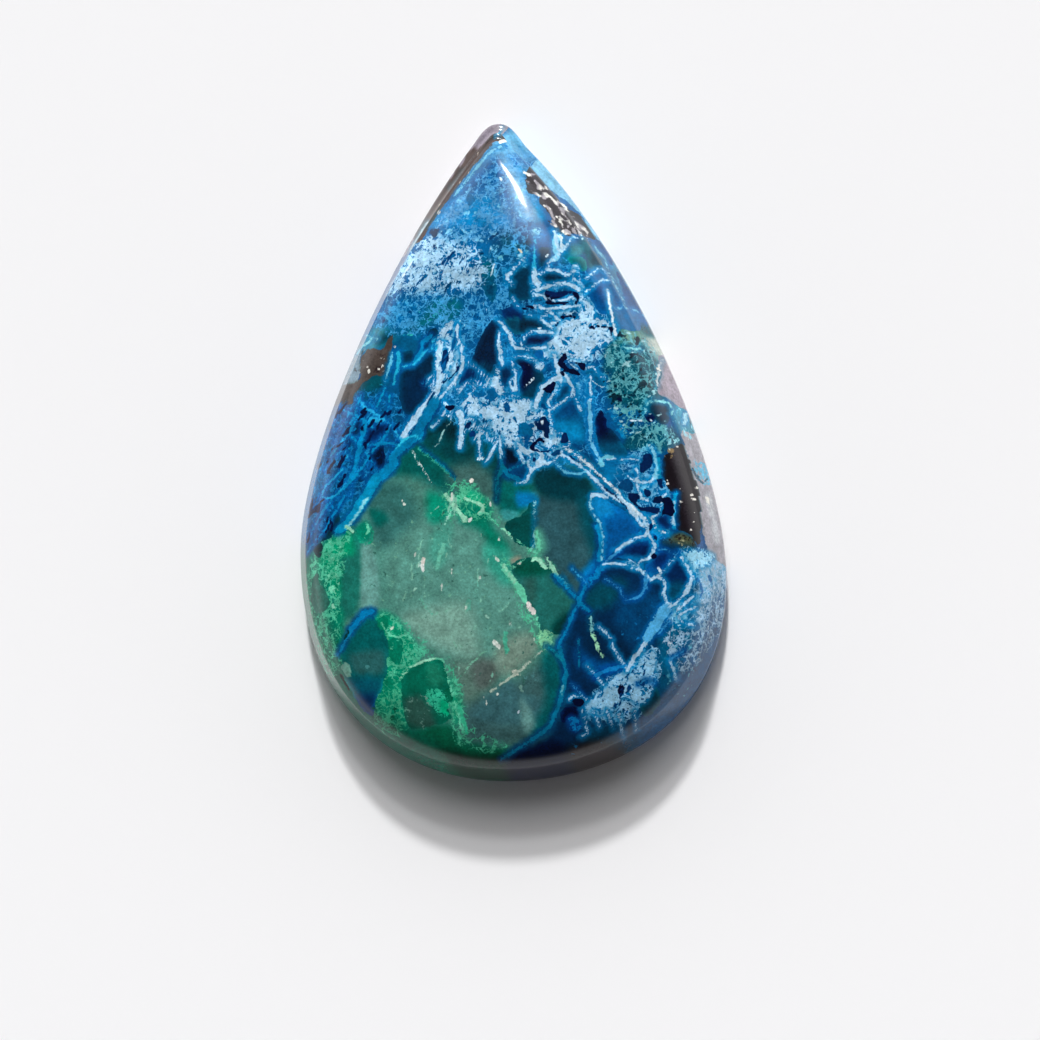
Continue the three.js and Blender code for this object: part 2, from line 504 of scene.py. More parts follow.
slot(paint(2, 90, 155), 0.2, (0.5, 17.3), (0.55, 17.15))
slot(BLUE, 0.2, (1.15, 17.75), (1.6, 17.6))
fleck(FROST, 0.14, (-0.4, 16.3), (-0.3, 16.1))
fleck(paint(160, 140, 90), 0.16, (-2.75, 13.2), (-2.6, 13.1))

# The brown strip along the upper left edge with a few pale grains, and a mauve outer border that is painted
# reflection of the rim.
vein(paint(96, 166, 196), 0.22, 0.16, (-0.5, 18.4), (-1.3, 17.8), (-3.3, 15.3))
cell(PAINTED_RIM_MAUVE, (-7, 12.2), (-5.6, 15.4), (-2.4, 20.2), (-0.2, 20.6), (-0.3, 19.1), (-1.3, 18.9), (-3, 16.9),
     (-4.9, 13.9), (-5.6, 12.4))
cell(BROWN, (-6, 12.8), (-5.8, 13.9), (-3.2, 17.9), (-2.4, 18.8), (-1.6, 19.4), (-0.8, 19.4),
     (-0.1, 19.2), (-0.1, 18.8), (-0.9, 18.7), (-1.8, 17.6), (-4.4, 14.1), (-5.2, 12.6))
slot(paint(33, 52, 58), 0.14, (-0.75, 19), (-0.1, 19), (-0.1, 18.75))
slot(paint(44, 40, 42), 0.14, (-1.7, 18.5), (-1.3, 18.4), (-1, 18.6))
slot(paint(58, 44, 42), 0.2, (-2.6, 17.1), (-2.1, 17.4), (-1.6, 17.9))
slot(paint(41, 62, 66), 0.18, (-4.6, 14.3), (-3.8, 15))
slot(paint(29, 66, 74), 0.18, (-5, 13.3), (-4.7, 13.8), (-4.3, 14.2))
vein(paint(176, 176, 176), 0.12, 0.06, (-1.2, 19.2), (-2.2, 18.3), (-3, 17.2))
vein(AQUA, 0.14, 0.1, (-0.9, 19.2), (-0.6, 19.4), (-0.5, 19.9))
vein(paint(150, 160, 165), 0.16, 0.1, (-3.1, 17.3), (-3.9, 16.2))
vein(paint(165, 195, 205), 0.25, 0.2, (-5.2, 14), (-6.1, 12.2))
scatter("flecks", paint(200, 190, 172), 0.13, 0.2, 55, 22, (-5.6, 12.9), (-5.3, 13.9), (-3, 17.5),
        (-1.4, 19), (-1.2, 18.4), (-2.6, 16.5), (-5, 12.8))
fleck(CREAM, 0.24, (-0.55, 18.75), (-0.3, 18.78))
fleck(CREAM, 0.18, (-1.92, 17.88))

# The grey and black strip along the upper right edge, full of pale slanting grains.
# Painted reflection: this pale blue band at the outer edge stands in for the sheet's reflection in the rim,
# laid over the blue rock.
cell(paint(112, 172, 204), (6.4, 12.4), (5, 15.4), (2.6, 18.2), (1.7, 17.2), (4.2, 14.7), (5.2, 13.1))
cell(paint(44, 40, 46), (1.4, 17.4), (1.8, 17.1), (2.1, 16.6), (2.6, 16.2), (3.6, 14.9), (4.4, 14.3),
     (5.3, 12.9), (5, 12.8), (4, 12.8), (3.1, 12.8), (2.7, 14), (2.1, 14.6), (2, 15.3), (1.6, 15.2),
     (1.2, 15.6), (1.2, 17))
patch(paint(42, 150, 190), 0.2, (1.1, 16.9), (1.4, 17.4), (1.6, 17), (1.3, 16.4))
slot(paint(29, 44, 58), 0.28, (1.4, 17.3), (1.55, 17.1))
strip = ((1.3, 17.2), (2.3, 16.3), (3.6, 14.9), (5.2, 13), (3.1, 12.9), (2.7, 14), (2.1, 14.8), (1.3, 15.7))
scatter("pits", BLACK, 0.2, 0.6, -32, 16, *strip)
scatter("flecks", paint(146, 142, 148), 0.15, 0.4, -50, 60, *strip)
scatter("flecks", paint(222, 222, 214), 0.14, 0.4, -38, 34, *strip)

# Upper left: pale lace with slanting azure slots, over a blue band that is finely dotted.
patch(paint(6, 87, 141), 0.5, (-7.6, 9.2), (-5.4, 12.6), (-4, 13.1), (-0.2, 13), (0, 12.2), (-1.2, 9),
      (-4.5, 8.5))
patch(paint(2, 94, 147), 0.4, (-9.6, 7.2), (-8, 9.4), (-5.2, 8.6), (-4.7, 7.7), (-6, 7.1), (-8.4, 6.9))
patch(paint(5, 96, 151), 0.4, (-6.4, 11.4), (-5.7, 11.9), (-5.2, 11.3), (-5.6, 10.5), (-6.1, 10.2))
patch(paint(5, 98, 154), 0.4, (-2.9, 12.1), (-1, 12.2), (-0.3, 11.6), (-1.7, 10.4), (-2.2, 10.9))
mottle("bloom", ICE, 0.3, 0.3, (-7.3, 9.8), (-5.1, 12.6), (-4, 12.9), (-3, 12.4), (-3.2, 11),
       (-1.6, 10.4), (-1.2, 9.4), (-4.8, 8.6))
mottle("bloom", paint(128, 200, 234), 0.5, 0.3, (-4, 13.3), (-0.1, 12.9), (-0.3, 12.1), (-1.8, 12.3),
       (-3.2, 12.2))
mottle("bloom", paint(74, 175, 225), 0.4, 0.3, (-8.4, 7.3), (-6.9, 9.2), (-5.1, 8.8), (-4.6, 7.7),
       (-6.4, 7.2))
mottle("shade", paint(2, 65, 113), 0.26, 0.3, (-8.4, 7.4), (-7.2, 9.4), (-5.2, 9.1), (-4.4, 8),
       (-6.2, 7.3))
mottle("shade", paint(2, 82, 135), 0.24, 0.3, (-7, 9.9), (-5.2, 12), (-1.4, 12.9), (-1.2, 10), (-4.2, 9))
slot(paint(2, 50, 98), 0.2, (-3.82, 11), (-3.05, 11.75))
slot(paint(2, 50, 98), 0.22, (-4.35, 12.15), (-4.25, 12))
slot(paint(2, 57, 93), 0.22, (-3.5, 9.5), (-3.1, 9.95), (-2.8, 9.65))
slot(DEEP, 0.2, (-7.05, 9.35), (-6.9, 9.3))
slot(DEEP, 0.2, (-7.5, 7.65), (-7.3, 7.75))
slot(paint(2, 60, 102), 0.2, (-0.8, 12.5), (-0.2, 12.9))
scatter("pits", paint(2, 76, 130), 0.13, 0.45, 35, 60, (-7.6, 9.6), (-5.4, 12.4), (-3, 13), (-1.2, 11.4),
        (-1.4, 9.2), (-5, 8.8))
fleck(FROST, 0.12, (-6.4, 10.3), (-5.7, 11.3))
fleck(FROST, 0.16, (-0.85, 11.6), (-0.75, 11.85))
fleck(paint(200, 226, 236), 0.12, (-0.8, 10.1), (-0.55, 10.9))
fleck(paint(155, 210, 235), 0.1, (-1.15, 8.55), (-0.95, 8))
fleck(paint(155, 220, 235), 0.1, (-2.6, 7.5), (-2.05, 7.1))

# Upper middle: clouded blue with green and brown dust, then deep teal cells behind a pale comb.
patch(paint(2, 74, 117), 0.4, (1, 12.9), (1.9, 12.2), (1.9, 11.2), (0.6, 10.6), (-0.4, 9.2), (-0.9, 10.6),
      (-0.7, 12), (-0.2, 12.9))
patch(paint(2, 88, 104), 0.35, (-1.6, 11), (-0.6, 11.1), (-0.5, 10.2), (-0.9, 9.8), (-1.5, 10.4))
patch(paint(2, 76, 93), 0.3, (-0.1, 12.6), (0.4, 13), (0.5, 12.1), (1.6, 12.3), (1.2, 11.6), (0.2, 11.7))
patch(paint(2, 94, 151), 0.4, (0.3, 10.2), (0, 7.8), (-0.9, 8), (-2, 7), (-2.8, 7), (-2.2, 8),
      (-0.9, 8.8))
mottle("bloom", paint(102, 186, 224), 0.36, 0.3, (2, 12.4), (1.6, 10.9), (0.2, 9.6), (-0.6, 9.6),
       (-1.5, 11.6), (0.6, 12.8))
mottle("shade", paint(2, 50, 83), 0.3, 0.3, (-1.9, 11.4), (0.2, 13.2), (2, 13), (1.8, 11.5), (-0.9, 9.9))
mottle("bloom", paint(109, 190, 190), 0.3, 0.25, (-1.8, 11.2), (-0.5, 11.3), (1.6, 12.4), (1.3, 11.6),
       (-0.3, 11), (-1, 10.2))
fleck(paint(206, 200, 176), 0.16, (0.9, 11.75), (1.1, 11.6))
mass(paint(142, 210, 238), (1, 11.5), (1.3, 11.3), (1.4, 10.9), (1.1, 10.9), (0.9, 11.2))
mass(paint(128, 204, 234), (1.8, 12.9), (2.1, 13), (2.2, 12.6), (1.9, 12.4))
vein(paint(44, 176, 219), 0.2, 0.3, (1.9, 12.5), (1.9, 10.6), (1.9, 9.9))
vein(ICE, 0.12, 0.2, (1.4, 11.3), (0.6, 10.5), (0.3, 10.1), (0.2, 9.8))
vein(ICE, 0.2, 0.1, (0.2, 10.4), (0.3, 10), (0.6, 9.6))

# Deep teal cell left of the pale column, and a second at its right.
cell(paint(2, 53, 79), (1.8, 10.9), (1.8, 9), (1.4, 8.7), (0.8, 8.6), (0.3, 8.9), (0.5, 10.3),
     (0.9, 10.6))
cell(paint(2, 54, 79), (2.9, 11.8), (3, 11.4), (2.7, 11), (2.4, 10.7), (2.1, 10.8), (2, 11.2),
     (2.1, 11.8))
cell(paint(2, 41, 65), (2.2, 10.1), (2.9, 10.4), (3.3, 10.4), (4.1, 10.1), (3.7, 9.7), (2.7, 9.6))
patch(paint(12, 104, 130), 0.3, (4.6, 12.2), (4.6, 11.4), (4, 10.9), (3.3, 10.9), (3.3, 12))
patch(paint(2, 87, 100), 0.25, (4.5, 12.5), (5.2, 12.3), (6, 11.3), (6.3, 10.1), (5.4, 10))
patch(paint(44, 131, 145), 0.12, (4.1, 11.9), (4.7, 12), (4.6, 11.5), (4.3, 11.3), (4, 11.4))
cell(paint(11, 96, 106), (3.9, 11.2), (4.6, 11.3), (5, 10.9), (4.8, 10.4), (4.3, 10.6))
cell(paint(2, 63, 80), (5.1, 12), (5.5, 11.8), (5.9, 11.1), (6, 10.6), (5.3, 10.7), (5, 11.2))
vein(paint(104, 190, 224), 0.4, 0.3, (3.2, 12.5), (3.1, 11.9), (3.3, 11.4), (3, 11.1))
vein(ICE, 0.24, 0.16, (3, 12.9), (3.4, 11.7), (4, 12.4))
vein(ICE, 0.16, 0.14, (3.6, 11.7), (2.8, 10.9), (2.6, 10.5), (1.8, 10))
vein(FROST, 0.2, 0.16, (3.4, 12.6), (3.5, 11.9))
mottle("bloom", ICE, 0.45, 0.25, (2.9, 12.8), (4.4, 12.9), (5.1, 12.6), (3, 12))
fleck(FROST, 0.16, (2.6, 11.35), (2.7, 11.4))
vein(ICE, 0.3, 0.4, (1.9, 10.4), (1.9, 9.9), (2.1, 9.7))
mass(ICE, (1.8, 9.9), (2.2, 9.9), (2.2, 9.6), (1.8, 9.6))

# Right flank: flat azure facets divided by fine pale lines.
patch(paint(2, 89, 145), 0.3, (4.8, 10.2), (6.2, 10.4), (7.2, 8.8), (8.6, 8.2), (9.6, 6.9), (6.7, 7),
      (6.4, 8), (5.2, 8))
cell(paint(2, 82, 135), (5.9, 9.8), (6.4, 9.9), (7.1, 8.3), (6.5, 8.1), (6.2, 8.6))
cell(paint(2, 70, 124), (5.9, 9.8), (6.2, 8.8), (6.3, 8), (5.8, 7.9), (5.3, 8.6), (5.1, 9.3))
cell(paint(2, 60, 96), (4.7, 9.8), (5.3, 9.8), (5.5, 9.5), (5, 9.2), (4.7, 9.4))
cell(paint(2, 97, 148), (6.6, 8.1), (7.2, 8.3), (7.9, 8.2), (8, 7), (6.8, 7), (6.5, 7.4))
cell(paint(42, 122, 159), (10, 7.6), (9, 9.4), (7.2, 12), (6.3, 11.8), (7.3, 8.4), (6.5, 9.7),
     (6.2, 10.9), (6.6, 10.9), (8.6, 8))
vein(paint(102, 180, 216), 0.12, 0.08, (6.5, 8.1), (7.1, 8.3), (7.8, 8.3), (8.6, 8))
vein(FROST, 0.14, 0.18, (6.2, 9.3), (6.7, 6.6))
vein(ICE, 0.12, 0.1, (4.9, 9.1), (5.8, 9.9), (6.3, 10))
vein(ICE, 0.1, 0.08, (4.9, 9.9), (5.7, 10.7), (6.1, 10.3))
vein(paint(111, 180, 205), 0.14, 0.1, (5.3, 12.2), (5.9, 11.5), (6.2, 10.6), (7.2, 8.4))

# Pale comb in the upper middle: level teeth with inky gaps, then one large pale body to the right.
patch(paint(2, 58, 98), 0.3, (4.6, 9.4), (4.9, 7.6), (3, 7), (3.2, 5.2), (0.3, 5.2), (0.6, 6.6), (0, 7.2),
      (0, 8.2), (1, 9), (2.6, 9.4))
cell(NAVY, (0, 8.2), (1, 8.2), (1.2, 7.9), (1.1, 7.5), (0.2, 7.6))
cell(paint(2, 63, 88), (0.2, 7.6), (1.3, 7.5), (1.4, 7), (1.1, 6.6), (0.7, 6.6), (0.3, 7))
cell(paint(2, 39, 59), (1.1, 7.6), (1.8, 7.7), (2.3, 7.5), (3, 6.8), (1.6, 6.8), (1.2, 6.6))
cell(paint(2, 27, 60), (1.1, 6), (1.5, 6.5), (2.9, 6.5), (3, 6.2), (2.3, 6))
cell(paint(2, 32, 58), (-0.6, 7.5), (-0.3, 7.2), (-0.1, 6.6), (-0.3, 6.2), (-0.1, 5), (-1, 4.9),
     (-1.9, 5), (-1, 7.1))
mass(ICE, (4.4, 10.7), (4.5, 10), (4.7, 9.5), (4.8, 8.7), (5.2, 8.4), (5.6, 7.7), (6.6, 7), (6.6, 6.4),
     (5.4, 5.7), (5, 5.1), (4.1, 5.3), (3.7, 5.5), (3.3, 5.2), (2.6, 5.2), (2.5, 5.7), (3, 6.2), (3, 6.8),
     (3.4, 7.4), (4.3, 7.5), (4.7, 7.9), (4.5, 9.3), (3, 9.6), (2.6, 9.3), (4.1, 9.8), (4.2, 10.6))
vein(ICE, 0.2, 0.2, (2.7, 10.5), (3.3, 10.4), (3.9, 10.2), (4.3, 10.4))
vein(ICE, 0.18, 0.26, (1.8, 9.2), (3.1, 9.6), (4, 9.6), (4.5, 9.3))
vein(ICE, 0.13, 0.12, (1.8, 8.9), (2.2, 9), (2.6, 9))
vein(ICE, 0.14, 0.16, (2.6, 8.7), (3.4, 8.6), (4.2, 8.8))
vein(ICE, 0.16, 0.2, (2, 8.1), (2, 8.3), (2.6, 8.1), (3.3, 8.2), (4.6, 8.3))
vein(ICE, 0.13, 0.16, (1.6, 7.7), (2.2, 7.7), (2.6, 7.8), (3, 7.8), (3.3, 7.5))
vein(ICE, 0.14, 0.14, (2.3, 7.5), (3, 7))
vein(ICE, 0.14, 0.16, (2.9, 7.3), (3.2, 7.3), (3.5, 7.5))
vein(ICE, 0.14, 0.15, (1.1, 6), (1.6, 6.7), (3.1, 6.7))
vein(ICE, 0.1, 0.1, (0.6, 8.9), (0.9, 8.3), (1.1, 8.2))
fleck(FROST, 0.16, (2.15, 6.9), (2.3, 6.95))
vein(ICE, 0.14, 0.22, (-0.3, 7.5), (0, 7.2), (0.5, 6.4), (0.6, 6))
vein(ICE, 0.16, 0.2, (-0.2, 6.7), (-0.2, 6.1), (0, 4.8))
vein(ICE, 0.14, 0.16, (0.8, 5.8), (1.2, 5.7), (2.6, 5.8))
patch(paint(2, 94, 151), 0.25, (2.6, 5.1), (0.6, 5.2), (-0.1, 5.6), (0.1, 6.2), (1.2, 5.5), (2.6, 5.6))
hole(BLUE, (1.95, 5.45), (2.4, 5.6), (2.55, 5.3), (2.2, 5.15))
slot(paint(2, 35, 80), 0.3, (2.7, 9.1), (3.5, 9), (3.9, 9.1), (4.4, 9.05))
slot(INK, 0.3, (4.3, 9), (4.5, 8.8), (4.4, 8.45))
slot(INK, 0.16, (2.65, 8.9), (2.9, 8.8), (3.4, 8.8))
slot(INK, 0.18, (2.7, 8.45), (4, 8.45))
slot(INK, 0.22, (1.2, 8.2), (1.7, 8.3), (1.95, 8.1))
slot(INK, 0.22, (3.6, 7.62), (3.9, 7.72), (4.35, 7.62))
slot(NAVY, 0.18, (3.2, 7.15), (3.35, 7.3))
slot(INK, 0.22, (5.3, 7), (5.45, 6.95))
slot(INK, 0.16, (5.7, 7.1), (6.5, 6.95))
slot(INK, 0.22, (6.45, 6.95), (6.5, 6.55))
mottle("shade", paint(2, 86, 143), 0.12, 0.2, (4.8, 8.8), (6.4, 6.4), (5, 5.2), (3.1, 5.4), (3.1, 7.2))
mottle("shade", paint(2, 94, 149), 0.3, 0.2, (5, 6.3), (6.3, 6.3), (6.2, 5.2), (5.3, 4.7), (5, 5))

# Pale column running down from the lace, with long oval holes, and the azure area beside it.
patch(paint(2, 86, 139), 0.35, (-1.1, 7.3), (-1.9, 5.2), (-2.7, 4.9), (-2.9, 7.3))
patch(paint(7, 97, 104), 0.35, (-2.5, 8.2), (-3.2, 7.4), (-4.4, 7.4), (-6.2, 6.3), (-6.3, 7.1),
      (-4.9, 7.9), (-4.6, 8.6), (-3, 8.9))
patch(paint(2, 86, 126), 0.35, (-6.2, 7.1), (-4.3, 6.9), (-4.6, 5.6), (-5.9, 4.9), (-6.6, 6))
mottle("bloom", paint(56, 191, 180), 0.3, 0.3, (-3, 8.8), (-3.3, 7.5), (-5.2, 7), (-6.2, 6.2),
       (-6.2, 7.1), (-4.7, 8.6))
mottle("bloom", paint(70, 177, 229), 0.34, 0.3, (-2.9, 7.4), (-1, 7.4), (-1.5, 6.2), (-2, 5), (-2.8, 5.2))
mottle("shade", paint(2, 66, 111), 0.2, 0.2, (-2.8, 7.6), (-0.9, 7.7), (-1.4, 6.6), (-2.6, 6.2))
cell(paint(2, 38, 59), (-4.3, 7.2), (-4, 7), (-4, 6.3), (-4.8, 5.9), (-4.6, 6.8))
cell(paint(2, 44, 68), (-6.2, 5.7), (-5.6, 5.8), (-5.4, 5.3), (-5.9, 5), (-6.3, 5.2))
cell(paint(2, 42, 68), (-4, 5.7), (-4.3, 3.8), (-5, 2.4), (-5.4, 1.9), (-5.9, 2), (-6.2, 2.6),
     (-6.3, 3.6), (-6.2, 4.5), (-5.5, 4.8), (-4.8, 5.5))
tint("cells", paint(2, 40, 70), 0.6, (-5.6, 4.2), (-4.4, 3.8), (-5, 2.3), (-6, 2.2))
cell(paint(2, 63, 94), (-1.6, 9.7), (-0.6, 9.8), (-0.4, 9.1), (-0.7, 8.6), (-1, 8.9), (-1.2, 9.4))
slot(DEEP, 0.2, (-1.85, 7.8), (-1.1, 7.6))
mass(ICE, (-3.3, 7.4), (-2.9, 7.3), (-2.8, 6.4), (-3.1, 6), (-3, 5.3), (-3.2, 4.7), (-3.5, 4.2),
     (-4, 4.4), (-4, 5.2), (-4, 6.2), (-3.6, 7.1))
vein(ICE, 0.42, 0.36, (-3.8, 6.2), (-3.9, 5.3), (-3.8, 3.9), (-4.1, 3.1), (-5.1, 1.9), (-6, 0.6))
vein(ICE, 0.16, 0.2, (-2.8, 7.3), (-2.8, 6.5), (-2.5, 5.9), (-2.6, 4.3), (-4.6, 2))
vein(ICE, 0.16, 0.1, (-2.9, 6.1), (-2.6, 6), (-2.3, 6))
vein(ICE, 0.14, 0.1, (-3.5, 4.3), (-2.7, 3.4))
mottle("bloom", ICE, 0.5, 0.2, (-2.5, 5.6), (-2.5, 4.2), (-3, 3.6), (-3.7, 3.7), (-3.7, 4.6), (-3, 5.8))
vein(paint(42, 173, 215), 0.16, 0.14, (-4, 5.8), (-4.6, 5.8), (-5.4, 5), (-6.1, 4.8))
vein(paint(42, 173, 215), 0.14, 0.1, (-4, 6), (-4.3, 6.2), (-4.2, 6.5))
vein(paint(3, 117, 168), 0.3, 0.2, (-4.4, 6.6), (-4.9, 6.3), (-5, 5.8), (-5.3, 5.2))
vein(ICE, 0.12, 0.1, (-4.2, 4.2), (-4.5, 4), (-4.5, 3.6), (-4.2, 3.5), (-4.2, 3.9))
vein(paint(2, 100, 151), 0.2, 0.2, (-4.8, 3.8), (-4.7, 3.6))
hole(NAVY, (-3.45, 5.8), (-3.3, 5.4), (-3.4, 4.9), (-3.6, 4.75), (-3.72, 5.2), (-3.65, 5.7))
slot(NAVY, 0.16, (-2.7, 4.9), (-2.8, 4.4), (-3, 4.2))
slot(NAVY, 0.2, (-3.6, 3.75), (-3.2, 4.05))
slot(DEEP, 0.16, (-4.1, 3.2), (-4.6, 2.35))

# Dark triangles and cells above the central pale body, each ringed with pale quartz.
patch(paint(2, 89, 140), 0.3, (0.5, 3.6), (0, 2.6), (-1.5, 2.8), (-3.4, 1.4), (-4.6, 1.6), (-1.9, 5.2),
      (-0.2, 4.8))
cell(NAVY, (-0.9, 4), (-1, 3.7), (-2.5, 3.6), (-2.5, 4.1), (-2, 4.8))
cell(paint(2, 42, 65), (-1.9, 4.8), (-1.2, 4.9), (-0.7, 4.8), (-0.3, 4.4), (-0.6, 4), (-0.9, 4.1))
cell(paint(2, 42, 76), (0.6, 4.6), (0.7, 4.1), (0.6, 3.8), (0.3, 3.5), (0, 3.4), (-0.2, 3.8), (-0.2, 4.3),
     (0, 4.6), (0.3, 4.7))
cell(paint(2, 54, 79), (0.7, 5.1), (1.2, 5.2), (1.9, 5), (2.2, 4.7), (2.5, 4.2), (2.5, 3.6), (2, 2.6),
     (1.5, 2.6), (1.1, 2.8), (1.1, 3.9), (1.2, 4.5))
tint("cells", INK, 0.3, (1.9, 5), (1.9, 4.2), (1.5, 3.4), (1, 3.2), (1, 5))
vein(ICE, 0.14, 0.14, (-2.1, 5), (-0.8, 4))
mass(ICE, (-0.3, 4.5), (-0.2, 3.9), (0.1, 3.2), (-0.1, 3), (-0.4, 3.4), (-0.8, 3.6), (-0.9, 3.9),
     (-0.5, 4))
vein(ICE, 0.16, 0.14, (-1.6, 3.8), (-1.1, 3.5), (-0.8, 3.7))
vein(ICE, 0.14, 0.16, (-2.6, 3.1), (-2.4, 3.5), (-1.9, 3.8), (-1.6, 3.5), (-1.7, 3.3))
vein(ICE, 0.14, 0.2, (0.6, 5), (0.8, 4.3))
vein(ICE, 0.12, 0.14, (0.6, 5.2), (0.9, 5.3), (1.5, 5.2), (2, 5))
mass(FROST, (1.4, 5.2), (1.6, 5.3), (1.8, 5.2), (1.6, 5.1))
mass(ICE, (2, 5), (2.4, 4.8), (2.5, 4.5), (2.2, 4.5))
vein(ICE, 0.24, 0.16, (0.8, 4), (0.6, 3.6), (0.7, 3.2), (1, 3.1))
vein(ICE, 0.16, 0.2, (0.9, 4.3), (0.8, 3.3), (0.7, 2.9))
hole(paint(2, 94, 149), (0.65, 3.9), (0.78, 3.7), (0.7, 3.4), (0.58, 3.5))
fleck(FROST, 0.13, (1.38, 3.4), (1.85, 3.98))
fleck(FROST, 0.14, (1.6, 4.72), (1.68, 4.75))

# The central pale body: a soft mass with a branching edge, arms to the right and a few drips below.
mass(ICE, (-1.3, 1.9), (-0.8, 2.4), (-0.2, 2.1), (0, 2.6), (0.5, 2.4), (0.8, 3), (1.1, 2.6), (1.8, 2.5),
     (2.2, 2.1), (2.8, 1.9), (2.7, 1.6), (1.9, 1.6), (1.6, 1.4), (1, 1.1), (1, -0.2), (-0.2, 0.3),
     (-0.4, 0.9), (-0.9, 0.9), (-0.8, 1.4))
mass(ICE, (-2.2, 2.8), (-1.8, 3), (-1.2, 1.9), (-1.9, 1.7), (-2.5, 1.9))
vein(ICE, 0.36, 0.3, (-2.6, 2), (-2.4, 1.4), (-2.5, -0.1))
vein(ICE, 0.14, 0.16, (-2.3, 1.4), (-1.9, 1.5), (-1.6, 1.4), (-1.8, 1.1), (-2.2, 0.8))
vein(ICE, 0.14, 0.16, (-2, 0.9), (-1.5, 1.1), (-1, 1.1), (-0.8, 1.3))
vein(ICE, 0.2, 0.16, (-1.7, 0.3), (-1.4, 0.6), (-0.9, 0.7), (-0.8, 0.3), (-0.5, 0.3), (-0.2, 0.2))
vein(ICE, 0.16, 0.16, (-1.4, 0.7), (-1.3, -0.8))
fleck(paint(196, 226, 238), 0.22, (-1.42, -0.84), (-1.15, -0.84))
vein(ICE, 0.14, 0.12, (-0.1, 0.5), (-0.6, -0.5), (-0.8, -0.9), (-1, -1.1))
vein(ICE, 0.24, 0.12, (-0.1, 0.3), (0, -1))
vein(paint(2, 111, 152), 0.16, 0.3, (0, -0.9), (0.1, -1.5), (0.5, -1.9), (1, -2.1))
vein(paint(3, 102, 124), 0.3, 0.16, (0.1, -1.4), (-0.2, -1.9), (-0.3, -3.3))
vein(paint(3, 111, 152), 0.12, 0.14, (0.3, -1.7), (0.7, -1.4), (1.5, -1.1))
cell(paint(2, 24, 42), (0.1, 0.1), (0.9, -0.3), (1, -0.9), (0.9, -1.2), (0.3, -1.6), (0.1, -1.2))
cell(paint(2, 65, 109), (0.4, -1.8), (0.8, -1.4), (1.4, -1.2), (1.6, -1.4), (1.6, -1.9), (1.4, -2.2),
     (0.8, -2.1))
vein(ICE, 0.2, 0.14, (1, -0.4), (1.4, -1.1))
vein(ICE, 0.18, 0.14, (1, 0), (1.7, -0.7), (1.6, -1.1), (1.8, -1.6), (1.6, -2))
vein(ICE, 0.14, 0.1, (0.9, -2.3), (1.6, -2.2))
vein(ICE, 0.3, 0.3, (1.1, -0.3), (1.6, -0.5), (2, -0.3), (2.4, -0.7), (2.2, -1.1), (2.6, -1.1))
mass(ICE, (2.3, 0.6), (3, 0.9), (3.4, 0.3), (3.6, -0.3), (3.2, -0.5), (2.7, -0.1))
mottle("bloom", ICE, 0.5, 0.2, (1, -0.2), (3.4, -0.6), (3.1, -1.2), (2, -1.6), (1.2, -1.2))
vein(ICE, 0.16, 0.14, (1.9, -1.5), (2.4, -1.2), (3, -1.1), (3.6, -0.5))
scatter("pits", paint(2, 86, 142), 0.12, 0.3, 60, 26, (-2.2, 2.6), (0.4, 2.8), (2.4, 1.9), (1, 0.2),
        (-0.4, 0.4), (-2.2, 1.6))
scatter("pits", paint(2, 86, 142), 0.12, 0.5, 75, 12, (-3.9, 6), (-3.1, 7), (-2.8, 5.6), (-3.6, 4.2))
hole(DEEP, (-0.95, 2.6), (-0.7, 2.65), (-0.6, 2.4), (-0.8, 2.3))
hole(paint(2, 75, 130), (0.15, 2.5), (0.4, 2.4), (0.5, 2), (0.15, 2))
mottle("shade", paint(2, 74, 129), 0.42, 0.15, (-2, 2), (-1.4, 2.5), (-0.9, 2.1), (-1.2, 1.6),
       (-1.9, 1.6))
hole(NAVY, (-2.1, 1.35), (-1.85, 1.4), (-1.8, 1.2), (-2.1, 0.9), (-2.2, 1.05))
hole(DEEP, (-1.3, 1.5), (-0.95, 1.55), (-0.75, 1.25), (-1.1, 1.3))
hole(paint(2, 54, 110), (-2, 0.7), (-1.6, 0.85), (-1.5, 0.55), (-1.9, 0.4))
hole(paint(2, 94, 140), (1.05, 1.1), (1.4, 1.3), (1.65, 1.1), (1.9, 0.72), (1.75, 0.45), (1.1, 0.55))
slot(paint(2, 82, 137), 0.3, (1.55, 0.45), (1.48, -0.15))
hole(paint(2, 35, 72), (1.95, 1.42), (2.2, 1.25), (2.35, 1.6), (2.7, 1.62), (2.88, 1.2), (2.8, 0.4),
     (2.6, 0.45), (2.5, 0.75), (2.1, 0.95))
fleck(FROST, 0.2, (2.42, 1.35), (2.46, 1.2))
slot(INK, 0.26, (1.82, -0.2), (2, 0.1), (2.3, 0.25), (2.6, 0.1))
slot(NAVY, 0.2, (2, -0.35), (2.4, -0.45), (2.9, -0.45))
slot(paint(2, 80, 135), 0.26, (1.42, -0.8), (1.45, -0.9))
slot(NAVY, 0.2, (1.9, -0.8), (1.95, -1))
slot(DEEP, 0.24, (3.1, -0.6), (3.4, -0.45), (3.5, -0.6))
hole(NAVY, (3.8, 0.62), (4.05, 0.3), (3.95, 0.05), (3.65, 0.02), (3.5, 0.15), (3.65, 0.5))
vein(ICE, 0.14, 0.12, (3.5, 0.7), (4, 0.2), (4, -0.1), (3.7, -0.2))

